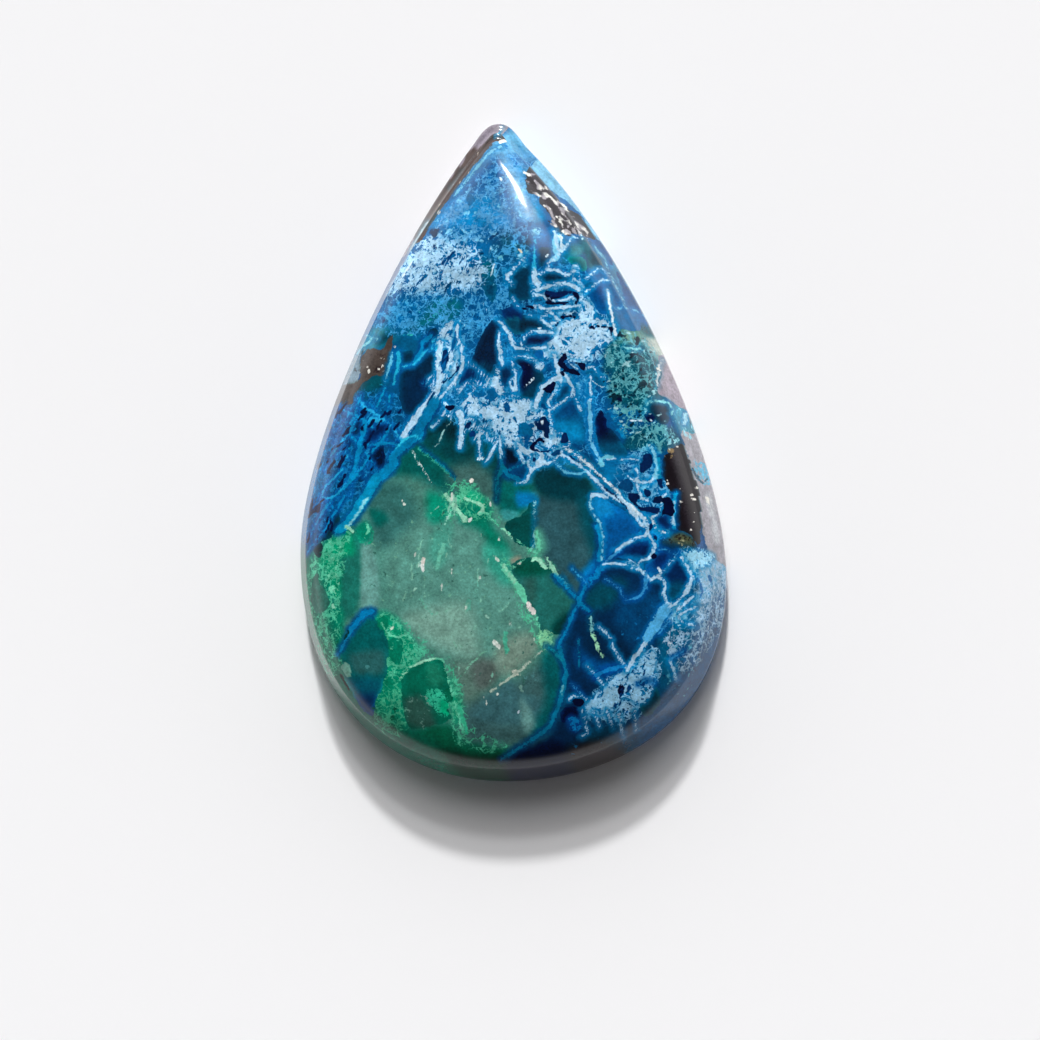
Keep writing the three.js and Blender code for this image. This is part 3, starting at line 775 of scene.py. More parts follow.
# Right of the centre: blue cells and their frames.
cell(paint(2, 78, 124), (4.1, 2.8), (4.3, 2.7), (4.7, 2), (5, 0.1), (4.1, 0.1), (3.6, 0.7), (3, 0.7),
     (3, 1.7), (3.2, 2))
tint("cells", paint(2, 67, 116), 0.45, (3.4, 2.2), (4.2, 2.8), (4.7, 2), (4.2, 1.7), (3.6, 1.9))
tint("cells", paint(7, 127, 181), 0.4, (3, 1.2), (4.6, 1.3), (4.9, 0.2), (3.4, 0.5))
vein(ICE, 0.24, 0.3, (2, 2.2), (2.4, 3.2), (2.6, 3.5), (3.4, 4))
vein(ICE, 0.24, 0.2, (3.1, 5.3), (3.5, 4.1), (3.5, 3.7))
mass(ICE, (4.1, 3.9), (3.6, 3.6), (3.2, 3), (3.2, 4), (3.6, 4.2))
vein(ICE, 0.2, 0.14, (3.7, 4.3), (4.2, 3.4), (4.2, 3), (4.1, 2.8))
vein(ICE, 0.14, 0.12, (4.2, 3), (3.1, 2.1), (2.7, 2))
vein(ICE, 0.14, 0.14, (2.9, 2.2), (2.8, 2.6), (3.3, 3.2))
vein(ICE, 0.14, 0.1, (4.3, 3), (4.8, 1.9))
vein(ICE, 0.18, 0.16, (2.9, 1.9), (3, 0.6))
hole(INK, (2.5, 3.3), (3.1, 3.7), (3.2, 3.3), (2.95, 3.05), (2.7, 3.1))
cell(paint(2, 60, 98), (2.5, 3.1), (2.7, 3), (2.8, 2.4), (2.5, 2.1), (2.1, 2.1))
cell(paint(2, 51, 85), (4, 3.4), (4.1, 3), (3.8, 2.7), (3.4, 2.5), (3.3, 2.9), (3.6, 3.4))
slot(DEEP, 0.24, (2.5, 2.3), (2.65, 2.1))
patch(paint(4, 101, 160), 0.3, (3.9, 4.3), (5, 4.6), (5.4, 3.6), (5.2, 2.2), (4.3, 3.2))
patch(paint(7, 111, 165), 0.25, (5.3, 2.6), (5.7, 1.6), (6, -1), (5.2, -0.3), (5, 0.6), (4.7, 2.4))
mottle("bloom", paint(111, 192, 228), 0.36, 0.2, (4.1, 4.2), (5.1, 4.5), (5.3, 3), (4.8, 2.4), (4.3, 3.1))
hole(INK, (3.6, 5.35), (3.85, 5.45), (3.95, 5.1), (3.75, 4.85), (4.1, 4.55), (4.6, 4.35), (4.65, 4.12),
     (4.2, 4.15), (3.5, 4.6), (3.35, 4.95))
hole(INK, (4.05, 4.85), (4.95, 4.85), (5, 4.45), (4.75, 4.45), (4.5, 4.72))
slot(INK, 0.2, (3.65, 4.3), (3.7, 4.1))
fleck(ICE, 0.1, (3.9, 4.95), (5.2, 5))
fleck(ICE, 0.1, (3.95, 4.85), (4.6, 4.4))
cell(paint(2, 77, 117), (5, 4.4), (5.4, 4.6), (6.1, 4), (6.1, 3.3), (5.5, 3.6), (5.2, 3.9))
vein(ICE, 0.16, 0.14, (5.3, 4), (5.3, 2.6))
vein(ICE, 0.12, 0.1, (5, 4.5), (5.4, 4.6), (5.8, 4.1), (6.1, 4))
fleck(FROST, 0.1, (5.35, 3.75), (6, 3.4))
vein(paint(102, 184, 224), 0.24, 0.2, (5.2, 2.5), (5.3, 0.9), (5.3, 0.2), (5.9, -1.1))

# Left edge: a brown pocket with pale grains, then a blue net of crossing fibres with dark gaps.
patch(paint(42, 141, 156), 0.4, (-9.4, 6.2), (-8, 7.4), (-6.8, 7.1), (-6.9, 6.3), (-8.6, 5.9))
patch(paint(2, 64, 80), 0.3, (-8, 6.6), (-7, 7), (-6.8, 6.5), (-7.6, 6.2))
vein(AQUA, 0.2, 0.2, (-9.4, 6), (-8.3, 6.5))
vein(AQUA, 0.14, 0.1, (-8.8, 7), (-7.8, 6.6))
cell(paint(119, 144, 159), (-10.6, 4), (-10, 6), (-9, 6.8), (-8.5, 6.2), (-8.9, 5.6), (-8.9, 4.4),
     (-9.4, 4))
mottle("shade", paint(14, 83, 97), 0.4, 0.2, (-9.8, 4.2), (-8.9, 4.5), (-8.7, 6.1), (-9.2, 6.2))
patch(paint(2, 74, 87), 0.35, (-9.6, 3), (-8.4, 4.3), (-7.2, 4.6), (-6.9, 3.6), (-8, 2.9))
patch(paint(2, 76, 116), 0.35, (-6.3, 3.6), (-5.9, 1.2), (-4.9, 0.4), (-6.3, -0.6), (-6.6, -1.5),
      (-8.2, -2.4), (-8.7, -3.8), (-10, -5), (-13.4, -7.2), (-14, -4), (-12.6, 0), (-10.7, 2.9),
      (-8.5, 3), (-7.2, 3.7))
patch(paint(7, 98, 144), 0.5, (-14, -6), (-13.6, -1), (-12, 1), (-10.6, -0.5), (-11.2, -2.6),
      (-12.6, -5.9))
cell(paint(72, 64, 60), (-6.8, 6.7), (-7.1, 4.5), (-7.9, 4.4), (-8.6, 3.9), (-9.2, 3.2), (-9.4, 2.7),
     (-11.2, 2.9), (-10.6, 3.9), (-9.5, 4), (-8.8, 4.3), (-8.9, 5.5), (-8.2, 6.1), (-7.5, 5.9), (-7, 6.7))
tint("cells", paint(60, 56, 56), 0.3, (-10.2, 3.1), (-9.4, 3.2), (-9.3, 2.7), (-10.2, 2.7))
mottle("shade", paint(52, 42, 44), 0.3, 0.2, (-7.1, 6), (-7.1, 4.6), (-8.6, 4), (-10, 2.9), (-8.8, 5.9))
for x, y, size in (
    (-8.65, 5.35, 0.18), (-8.5, 5.25, 0.14), (-7.5, 5.4, 0.18), (-7.35, 5.3, 0.16), (-7.4, 4.95, 0.22),
    (-7.65, 4.72, 0.18), (-8.27, 4.6, 0.28), (-7.35, 4.58, 0.16), (-7.1, 4.68, 0.12), (-8.5, 5.0, 0.12),
    (-8.4, 4.9, 0.12), (-6.67, 6.05, 0.17), (-8.7, 4.35, 0.1), (-8.05, 5.15, 0.1),
):
    fleck(CREAM, size, (x, y))
vein(paint(93, 186, 220), 0.2, 0.12, (-6.8, 5.6), (-7.2, 4))
vein(paint(31, 161, 200), 0.3, 0.16, (-6.4, 5.7), (-6.4, 5), (-6.7, 3.8))
scatter("pits", paint(2, 26, 62), 0.19, 0.75, 57, 44, (-6.2, 2.6), (-6.2, 0.2), (-8.4, -2.2),
        (-10.4, -4.6), (-12.6, -6.2), (-12.4, -3.2), (-11.2, 0.4), (-10.4, 2.4))
scatter("veins", paint(31, 146, 204), 0.09, 0.9, 50, 26, (-6.4, 2.9), (-6.4, 0.4), (-8.6, -2.0),
        (-12.4, -5.6), (-11.6, -1.0), (-10.4, 2.4))
vein(paint(39, 167, 220), 0.18, 0.16, (-8.9, 3), (-8.3, 2.3), (-7, 1.5), (-5.9, 0.1))
vein(paint(17, 149, 206), 0.14, 0.14, (-10.1, 2.4), (-8.3, 1.6), (-7.9, 1.2))
vein(paint(39, 167, 220), 0.3, 0.2, (-8, 1.7), (-7.6, 1.6), (-7.2, 1.6))
vein(paint(14, 147, 194), 0.1, 0.1, (-7.2, 3.6), (-7.7, 2.4))
vein(paint(14, 147, 194), 0.1, 0.1, (-6.9, 3.1), (-7, 2))
vein(paint(11, 135, 187), 0.12, 0.1, (-8.7, 3.2), (-9.6, 0.9))
vein(paint(11, 135, 187), 0.12, 0.12, (-9.9, 1.4), (-8.3, -0.4), (-7.6, -1.6))
vein(paint(11, 135, 187), 0.12, 0.1, (-9.1, 1.6), (-9.5, 0.8), (-10.8, -0.6))
vein(paint(9, 128, 181), 0.3, 0.3, (-8.4, 1.5), (-8.6, 0.6), (-9, -1.2), (-9.3, -1.9))
vein(paint(9, 128, 181), 0.14, 0.16, (-8.4, 0.1), (-7, 0.2), (-5.8, 0))
vein(paint(9, 128, 181), 0.14, 0.14, (-6.9, 1.4), (-7, 0.8), (-7.9, -0.3))
vein(paint(39, 167, 220), 0.12, 0.1, (-9.9, 0.6), (-9.5, -0.6))
vein(paint(11, 135, 187), 0.16, 0.12, (-8.1, -0.7), (-9.2, -2), (-10.6, -3.2), (-11.2, -4))
vein(paint(31, 156, 207), 0.14, 0.1, (-9.8, -1.3), (-11.1, -2.6), (-10.7, -3), (-10.1, -2.8),
     (-9.7, -2.2))
cell(NAVY, (-7, 1.4), (-7, 0.8), (-7.4, 0.5), (-8.2, 0.3), (-8.4, 0.4), (-8.3, 0.9), (-8.2, 1.2))
cell(paint(2, 23, 48), (-7.8, 0.1), (-7.2, 0.1), (-7.1, -1), (-7.5, -1.4), (-8.2, -0.6), (-8.3, -0.2))
cell(paint(2, 32, 58), (-9.7, 0.7), (-9.3, 0.4), (-9.3, 0.1), (-9.7, -0.3), (-9.8, 0.1))
cell(paint(2, 32, 58), (-9.9, 1.6), (-9.4, 1.6), (-9.3, 1.1), (-9.7, 1.1))
cell(paint(2, 32, 58), (-9.2, 1.4), (-8.6, 1.6), (-8.5, 1.1), (-9, 0.8), (-9.3, 1))
cell(paint(2, 36, 63), (-8.6, -1.4), (-8.2, -1.4), (-8.1, -1.8), (-8.6, -2.1), (-8.8, -1.9))
mottle("shade", paint(2, 49, 95), 0.3, 0.25, (-6.4, 2.4), (-6, 0.5), (-7, -1.2), (-9.6, -3.4),
       (-11.3, -1), (-10.8, 2.4), (-8.4, 2.7))
mottle("bloom", paint(14, 148, 203), 0.34, 0.25, (-6.4, 2.6), (-8.6, 0), (-9, -3), (-12.6, -5.4),
       (-11, 2.4), (-8.4, 2.9))
mottle("bloom", paint(31, 155, 183), 0.3, 0.25, (-9.6, 2.9), (-8.5, 4.2), (-7.2, 4.3), (-7, 3.2))
patch(paint(2, 98, 136), 0.2, (-8.9, -3), (-8.8, -3.9), (-9.9, -5), (-9.9, -4), (-9.6, -3.4))
cell(paint(2, 44, 59), (-10.1, -3.9), (-9.9, -4.4), (-10, -5), (-11.1, -5.7), (-10.9, -5.1))
cell(paint(2, 44, 52), (-11.5, -5.8), (-11.1, -5.7), (-11, -6.1), (-11.3, -6.6), (-11.7, -6.1))
vein(paint(9, 134, 192), 0.16, 0.12, (-9.6, -2.9), (-10.9, -4.9), (-12.2, -6.3))
vein(paint(9, 134, 192), 0.14, 0.12, (-10.4, -3.1), (-11, -3.8), (-12.2, -5.6))
vein(paint(3, 126, 177), 0.5, 0.62, (-5, 0.7), (-6.3, -0.3), (-6.6, -0.7), (-6.7, -1.2), (-7.9, -2.2))
vein(paint(9, 141, 187), 0.66, 0.44, (-7.7, -2.1), (-9.2, -4.3), (-10, -5))
vein(paint(2, 111, 158), 0.7, 0.4, (-4.1, 2.6), (-5.1, 0.9), (-5.7, 0.2))
vein(paint(128, 210, 226), 0.16, 0.14, (-8.2, -3.1), (-9.4, -4.9))
vein(paint(44, 185, 221), 0.14, 0.14, (-5, 0.4), (-5.3, 0.6), (-5.9, 0.4), (-6.4, -0.1))
vein(ICE, 0.14, 0.1, (-2.9, 2.3), (-3.4, 2.1), (-3.7, 1.6), (-4.2, 1.1))
vein(ICE, 0.18, 0.1, (-3.5, 2.6), (-3.1, 1.9), (-3.1, 1.6))
fleck(paint(190, 220, 236), 0.16, (-3.3, 1.8), (-3.2, 1.75))
fleck(paint(151, 214, 234), 0.14, (-4.25, 1.15))
hole(INK, (-3.5, 2.25), (-3.2, 2.4), (-2.85, 2.45), (-2.9, 2.2), (-3.2, 2.05))

# Right edge: granular teal rock, a black strip with white grains and a pale blue end.
patch(paint(2, 78, 93), 0.3, (9.6, 7.4), (10.2, 4), (9.6, 2.8), (8.5, 1.8), (6.6, 2.4), (6.1, 3.4),
      (6.2, 6.3), (7.2, 7.1))
patch(paint(96, 142, 122), 0.3, (6.7, 6.6), (7.4, 7), (8.2, 6.9), (8.6, 6.3), (7, 6.1))
patch(paint(176, 186, 176), 0.25, (8.3, 6.3), (8.7, 6.8), (9.8, 6.8), (10.2, 5.2), (9.2, 5.2))
patch(paint(2, 82, 133), 0.3, (6.5, 4.3), (6.4, 2.6), (7.8, 2.2), (8.2, 1.4), (7.4, 0.3), (6.6, 0.6),
      (5.9, 2.8), (6, 4))
patch(paint(33, 54, 62), 0.3, (7.9, 4.2), (8.5, 4.3), (9, 3.6), (8.8, 3.2), (8.1, 3.2))
mottle("bloom", paint(95, 196, 202), 0.34, 0.25, (7.4, 6.9), (8.8, 5.8), (9.1, 4.6), (8.6, 2.4),
       (6.5, 2.3), (6, 4.4), (6.1, 6.3))
mottle("shade", paint(2, 40, 58), 0.3, 0.25, (7.4, 6.9), (8.8, 5.8), (9.2, 4.6), (8.6, 2.2), (6.5, 2.2),
       (6.1, 4.4), (6.2, 6.3))
mottle("bloom", paint(29, 150, 132), 0.26, 0.25, (6.2, 5.8), (7.8, 6.6), (8.6, 4.8), (8.4, 2.3),
       (6.4, 2.6))
mottle("bloom", paint(196, 222, 222), 0.16, 0.25, (6.1, 5.8), (7.8, 6.6), (8.9, 5.2), (8.6, 3.8),
       (6.3, 3.6))
scatter("pits", paint(2, 42, 56), 0.13, 0.4, 50, 40, (6.2, 6.4), (8.4, 6.6), (8.8, 4), (8.4, 1), (6.4, 2.2))
scatter("flecks", paint(150, 196, 204), 0.09, 0.4, 30, 44, (6.2, 6.4), (8.8, 6.6), (9.2, 3.4), (9.8, 0.4),
        (7.6, 0), (6.4, 2.2))
slot(INK, 0.18, (6.9, 2.7), (7.1, 2.6))
slot(paint(2, 40, 58), 0.14, (7.6, 5.4), (8, 5.4), (8.4, 5.2))
vein(paint(119, 196, 204), 0.1, 0.12, (7.2, 5.8), (7.7, 5.7), (8.1, 5.8))
cell(paint(150, 140, 152), (12, 2), (11.4, 4), (10.4, 5.9), (9.5, 5.8), (9.1, 5.4), (9.3, 4.4),
     (9.2, 3.5), (9.5, 2.9))
vein(paint(186, 196, 200), 0.14, 0.1, (9.1, 3.6), (9.2, 4.8), (9.4, 5.4))
fleck(CREAM, 0.2, (9.15, 4.65), (9.25, 4.6))
cell(paint(2, 41, 68), (5.9, 2), (6.2, 1.5), (6.3, 1), (6.7, 0.7), (7.4, -0.3), (7.4, -0.8), (6.8, -0.9),
     (6.1, -0.8), (5.6, 0.9), (5.7, 1.7))
tint("cells", INK, 0.3, (5.7, 2.2), (6.3, 1.7), (6.4, 0.9), (5.9, 0.4), (5.5, 1.2))
tint("cells", paint(2, 73, 105), 0.3, (6.1, 0), (7.3, 0), (7.3, -0.8), (6, -0.7))
mottle("bloom", paint(7, 123, 180), 0.42, 0.25, (6.2, 2.1), (7.8, 2.2), (8.2, 1), (7.4, 0.2), (6.5, 0.9))
mottle("shade", paint(2, 47, 91), 0.3, 0.25, (6.4, 2.3), (7.9, 2.2), (8.1, 1), (7.4, 0.2), (6.6, 0.9))
mottle("bloom", paint(144, 212, 224), 0.42, 0.25, (8, 1.6), (10.3, 0.9), (10.4, 0.1), (9.3, -0.3),
       (8.1, 0))
mottle("shade", paint(2, 42, 55), 0.3, 0.25, (8, 1.5), (10.4, 0.9), (10.4, 0.1), (9.3, -0.3), (8.1, 0))
mottle("bloom", paint(102, 186, 216), 0.45, 0.25, (7.2, 0), (8.6, -0.1), (9.4, -0.3), (8.6, -0.8),
       (7.7, -0.9))
patch(paint(2, 78, 99), 0.3, (10.2, 0.9), (10.4, -0.2), (7.4, -0.4), (7.4, 0.3), (8.2, 1), (9.2, 1.2))
fleck(FROST, 0.14, (7.7, 1.38), (8.25, 1.42))
cell(paint(2, 48, 69), (8.8, 2.4), (9.3, 2.5), (9.8, 2.4), (9.9, 1.9), (9.8, 1.4), (9.4, 1.2), (9, 1.5),
     (8.6, 2))
vein(paint(128, 206, 216), 0.12, 0.16, (8.5, 1.9), (8.6, 2.4), (9, 2.6), (9.5, 2.6), (9.9, 2.4),
     (10, 1.9))
cell(INK, (8.4, 1.8), (8.7, 1.9), (9, 1.6), (8.9, 1.3), (8.6, 1.4))
fleck(FROST, 0.16, (8.8, 1.45), (8.88, 1.4))
patch(paint(44, 142, 166), 0.3, (10, 2.4), (11, 2.6), (12.2, 1), (11.3, 0.5), (10.4, 0.9))
mottle("bloom", paint(142, 208, 224), 0.4, 0.2, (10.1, 2.2), (11.2, 2.4), (11.8, 0.8), (10.6, 0.5))
vein(paint(151, 208, 228), 0.24, 0.2, (10.8, 2.1), (10.7, 1.4))
slot(paint(14, 87, 106), 0.14, (11, 2), (11.1, 1.3), (11.3, 1))
# Painted reflection: the grey band along the right rim, and its lighter outer part, stand in for the sheet's
# reflection in the polished wall.
cell(paint(150, 148, 156), (10.5, 0.7), (11.2, 0.9), (12.4, 1), (13.6, -4), (13.8, -7), (12.6, -6.8),
     (12, -6), (11.3, -1.8))
cell(BLACK, (10.3, -0.1), (10.7, -0.1), (11.3, -1.9), (11.6, -3), (11.7, -5.9), (11, -5.3), (10.4, -5.1),
     (10.3, -4.2), (10.4, -3), (10, -2.8), (9.7, -2.3), (9.5, -1.6), (9.6, -0.8))
tint("cells", paint(44, 40, 46), 0.2, (10.4, -0.6), (11.3, -4.9), (11, -4.9), (10.1, -0.9))
tint("cells", paint(176, 180, 186), 0.15, (11.9, -3), (12.3, -2.8), (12.8, -5.5), (12.5, -5.8),
     (12.2, -4.2))
mottle("shade", OCHRE, 0.36, 0.2, (9.6, -0.4), (10.1, 0), (10.4, -0.4), (10.2, -0.9), (9.7, -1))
mottle("bloom", CREAM, 0.24, 0.15, (9.5, -0.3), (10.2, 0), (10.3, -0.6), (9.7, -1))
patch(paint(78, 84, 60), 0.2, (9.4, -5.8), (10, -5.4), (11, -5.4), (11.4, -6.4), (9.8, -6.3))
mottle("shade", paint(38, 36, 34), 0.42, 0.2, (9.7, -5.8), (10.4, -5.2), (11.6, -5.8), (11.6, -6.5),
       (10.4, -6.4))
mottle("bloom", paint(150, 150, 118), 0.22, 0.2, (9.5, -5.9), (10.5, -5.3), (11.8, -5.8), (11.8, -6.9),
       (10.4, -6.4))
mottle("bloom", paint(84, 170, 204), 0.62, 0.25, (11.5, -0.7), (12.6, -1.4), (12.5, -2.2), (11.8, -2.3),
       (11.4, -1.8), (11.2, -1.2))
slot(paint(9, 74, 95), 0.14, (11.25, -1.4), (11.5, -1.9), (11.8, -2.2), (12.1, -1.8))
for x, y, size in (
    (11.2, -3.0, 0.22), (11.35, -3.28, 0.2), (11.15, -3.2, 0.1), (10.62, -3.45, 0.26),
    (11.45, -2.58, 0.16), (10.55, -2.68, 0.1), (10.7, -2.8, 0.1), (9.82, -2.4, 0.16), (9.82, -2.2, 0.1),
    (10.35, -0.12, 0.18), (10.95, 0.48, 0.16), (10.95, -3.95, 0.1), (11.35, -4.1, 0.08),
    (11.3, -4.6, 0.14), (10.5, -3.7, 0.08), (11.2, -5.1, 0.14),
):
    fleck(CREAM, size, (x, y))
fleck(CREAM, 0.26, (12.05, -3.05), (12.15, -3.4))
vein(paint(119, 196, 226), 0.2, 0.3, (8.9, -0.2), (9.2, -1.4), (9.1, -2))
vein(paint(14, 135, 178), 0.2, 0.14, (9.3, -0.9), (9.4, -2.1))

# Blue cells between the black strip and the slanting double vein.
patch(paint(2, 72, 120), 0.35, (5.9, -1.2), (9, -0.5), (9.5, -2.4), (10.3, -2.8), (10.4, -5), (9.4, -5.8),
      (8, -4.6), (6.6, -2.8))
patch(paint(7, 111, 165), 0.25, (6, -1.5), (6.5, -1.2), (7.3, -1.6), (7, -2.1), (6.4, -2.2))
patch(paint(3, 101, 154), 0.25, (8.1, -2), (8.8, -1.8), (9.6, -2.3), (9.8, -3.1), (8.6, -3.4), (8, -3))
hole(NAVY, (8.9, -0.6), (8.92, -1.2), (8.6, -1.6), (8.3, -1.75), (8.2, -1.3), (8.38, -1.05), (8.4, -0.7))
hole(paint(2, 65, 109), (7.8, -2.4), (7.7, -2.8), (7.2, -2.8), (6.9, -2.6), (7.1, -2.3), (7.5, -2.1))
hole(paint(2, 32, 70), (7.6, -2.95), (8, -2.95), (8.2, -3.2), (8, -3.6), (8.4, -3.8), (9.2, -3.8),
     (9.3, -4.2), (8.4, -4), (7.7, -3.5))
hole(NAVY, (8.5, -2.7), (8.8, -2.8), (8.85, -3.1), (8.6, -3.2))
hole(NAVY, (9.2, -2.2), (9.45, -2.1), (9.6, -2.5), (9.4, -2.7))
hole(INK, (9.9, -3.2), (10.15, -3.6), (10.15, -4.3), (9.7, -4.2), (9.4, -4.4), (9.6, -3.8), (9.55, -3.3))
hole(paint(2, 32, 67), (9.1, -3.15), (9.5, -3.1), (9.4, -3.5), (9, -3.5))
vein(paint(11, 147, 199), 0.24, 0.2, (10.3, -3), (10.2, -3.6), (10.2, -5))
vein(ICE, 0.14, 0.18, (10.2, -3.5), (10.1, -4.2), (10.2, -4.8))
vein(ICE, 0.16, 0.14, (8, -1.5), (8.1, -1.9), (8, -2.3), (8.3, -3.2), (8.7, -3.4))
vein(ICE, 0.14, 0.14, (7.5, -1.9), (7.8, -2.2), (8.2, -2.3), (8.8, -2.3), (9, -2))
mass(paint(137, 208, 236), (8.2, -2.3), (8.7, -2.3), (8.6, -2.7), (8.2, -2.8))
vein(ICE, 0.12, 0.1, (9.7, -3), (9.5, -3.3), (9.4, -3.9), (9, -4.4))
vein(ICE, 0.1, 0.1, (8.1, -1), (7.6, -0.9), (7, -1), (6.6, -0.9), (6.1, -0.9))
vein(paint(102, 190, 216), 0.3, 0.16, (6, -1.3), (5.9, -1), (6.2, -0.8), (6.6, -0.8))
mottle("bloom", paint(102, 186, 224), 0.36, 0.2, (7.4, -1.7), (8.2, -1.5), (9.1, -2), (9.6, -2.9),
       (8.6, -3.4), (7.7, -2.7))
vein(FROST, 0.17, 0.16, (3.6, -0.1), (5, -1.1), (6.9, -2.9), (7.5, -3.6), (8.6, -4.5))
vein(ICE, 0.22, 0.18, (3.4, -0.5), (4.8, -1.4), (6, -2.6), (7.1, -3.5))
vein(ICE, 0.18, 0.2, (7, -3.1), (8.4, -4.9))
slot(NAVY, 0.12, (4.1, -0.75), (4.8, -1.2))
slot(NAVY, 0.1, (5.5, -1.7), (6.1, -2.25))
slot(NAVY, 0.12, (6.1, -2.6), (6.8, -3.15), (7.4, -3.85))
patch(paint(2, 70, 117), 0.2, (4.2, 0.1), (5, 0), (5.6, -0.9), (5.3, -1.2), (4.4, -0.7), (4, -0.3))
fleck(paint(119, 196, 226), 0.1, (4.4, -0.5), (4.9, -0.35))
patch(paint(7, 102, 146), 0.25, (3.2, -0.8), (4, -0.9), (5, -1.6), (3.6, -1.6), (3.1, -1.2))
vein(paint(93, 184, 220), 0.14, 0.14, (3.3, -1.2), (3.7, -1.6), (4.4, -1.8), (5, -1.7))

# The green half: clear quartz over malachite, dark teal near the blue, sage in the middle.
patch(paint(77, 136, 123), 0.8, (5.4, -1.8), (5.4, -8.6), (3.6, -12), (3.6, -15.6), (0.4, -19.9),
      (-4, -20.2), (-9.4, -16.8), (-12.9, -9.6), (-11.6, -6), (-9.4, -5), (-8.2, -3), (-5, 0.4),
      (-3.4, 0.6), (1, -1.6))
patch(paint(2, 66, 72), 0.5, (0.9, -1.4), (0, -2.4), (-2.2, -1.8), (-4.4, -0.5), (-5, 0.4), (-4.2, 1.4),
      (-2.4, 1.7), (-0.2, 0.4))
patch(paint(2, 44, 52), 0.35, (-3.9, 1.5), (-2.4, 1.6), (-2.4, 0.2), (-3.2, 0.4), (-4.1, 1))
patch(paint(2, 88, 84), 0.5, (-2.4, -2), (-3.2, -2.9), (-5, -1.9), (-6.6, -1.6), (-6.3, -0.5),
      (-4.9, 0.1))
patch(paint(63, 102, 98), 0.6, (-3.2, -1.4), (-1.6, -1), (-0.4, -2), (-0.8, -3.2), (-2.4, -3.2),
      (-3.2, -2.4))
patch(paint(53, 108, 104), 0.6, (-7.6, -2), (-5.8, -2.4), (-5, -4.6), (-5.8, -6), (-7.6, -5.8),
      (-8.2, -3.6))
patch(paint(2, 96, 88), 0.3, (-8, -3.8), (-7.2, -4), (-7, -4.5), (-7.6, -4.7))
patch(paint(31, 116, 103), 0.3, (-9, -4.9), (-8.5, -6.2), (-8.8, -9.8), (-10, -9.8), (-10, -5.4))
patch(paint(103, 159, 150), 0.22, (-8.5, -6), (-8, -5.9), (-7.5, -7.4), (-7.5, -9.6), (-8.5, -9.8))
patch(paint(89, 148, 135), 0.6, (-7, -6.4), (-3.4, -4), (0, -7), (1.4, -9.6), (0.4, -12.6), (-3, -12.4),
      (-6, -10))
patch(paint(123, 169, 154), 0.7, (-6, -10.4), (-4, -9.6), (-2, -9.6), (-1.4, -12.6), (-3.6, -12.2))
patch(paint(12, 140, 112), 0.4, (-4.4, -2.8), (-3.2, -3.4), (-3.4, -4.6), (-4.4, -4.4))
patch(paint(7, 122, 98), 0.4, (-2.6, -3.6), (-0.8, -3.6), (-0.6, -4.8), (0.4, -6.2), (-0.2, -7.2),
      (-1.2, -5.2), (-2.4, -4.6))
patch(paint(53, 154, 133), 0.4, (-1, -6), (0.6, -6.6), (1, -8), (0.2, -8.4), (-0.9, -7.2))
patch(paint(77, 158, 140), 0.35, (-4, -5), (-3, -4.6), (-3.2, -6.4), (-3.8, -7.4), (-4.4, -6.4))

# Dark grey-green cell to the right, with a teal top, and the wedge at its left.
patch(paint(46, 86, 94), 0.3, (2.1, -3.2), (5.3, -2.8), (6, -7.2), (4.6, -9), (2.2, -6.2))
patch(paint(2, 56, 66), 0.4, (1.9, -1.6), (3.2, -1.3), (5.2, -2), (5.3, -3.4), (2.2, -3))
patch(paint(2, 74, 88), 0.5, (4.6, -3), (5.5, -3.4), (5.9, -5), (5.9, -7.4), (4.9, -5))
patch(paint(2, 100, 96), 0.35, (1.8, -2.4), (1.4, -4), (0.2, -4.3), (-0.3, -3), (0, -2.3))
patch(paint(9, 124, 186), 0.25, (0.9, -2.9), (2, -3), (2.1, -3.6), (1, -3.7))
patch(paint(57, 150, 150), 0.2, (0, -4), (0.6, -3.9), (1, -4.1), (0.8, -4.5), (0.2, -4.5))
cell(paint(2, 76, 74), (1.9, -3.5), (1.2, -4.3), (0.6, -4.5), (0.2, -5), (0.9, -5.9), (1.4, -6.1),
     (1.9, -6))
cell(paint(36, 108, 102), (1.7, -6.7), (2.4, -7.2), (3, -7.4), (4.4, -9.2), (4.2, -10.2), (3.7, -11.2),
     (3, -11.3), (2.3, -11), (2, -10), (0.6, -7.4))
tint("cells", paint(2, 78, 64), 0.35, (0.8, -7.4), (1.7, -6.7), (3, -7.4), (2.4, -7.8), (1.2, -7.9))
tint("cells", paint(44, 92, 86), 0.3, (1.3, -8.2), (2, -8), (2, -9.6), (1.5, -9))
tint("cells", paint(2, 60, 58), 0.3, (3.2, -10.6), (4.2, -10), (3.6, -11.4), (3, -11.3))
patch(paint(145, 149, 131), 0.2, (0.5, -6.9), (1, -6.7), (1.2, -7), (0.8, -7.3))

# Pale green malachite lines crossing the field, and short white flecks.
vein(paint(48, 150, 130), 0.1, 0.12, (-5, -0.2), (-3, -1.9), (-2.6, -2.4))
vein(paint(12, 124, 150), 0.1, 0.1, (-4.9, -0.1), (-3.5, -1.3), (-2.8, -2.1))
mass(paint(84, 190, 150), (-2.6, -2.3), (-2.2, -2.6), (-2.2, -3), (-2.7, -3.7), (-3.1, -3.9),
     (-2.5, -2.9))
patch(paint(19, 160, 116), 0.3, (-2.2, -2.6), (-1.2, -3), (-1, -3.8), (-2, -3.4), (-2.8, -3.4))
vein(PALE_GREEN, 0.16, 0.3, (-3.4, -2.9), (-2.2, -4.5))
vein(MINT, 0.1, 0.08, (-2.9, -3.8), (-3.6, -5.1))
vein(PALE_GREEN, 0.2, 0.24, (-2.2, -3.2), (-1.2, -3.6), (-1.1, -3.9), (-1.3, -4.1))
vein(MINT, 0.14, 0.14, (-1.8, -3), (-1.5, -3.1), (-1.6, -3.5))
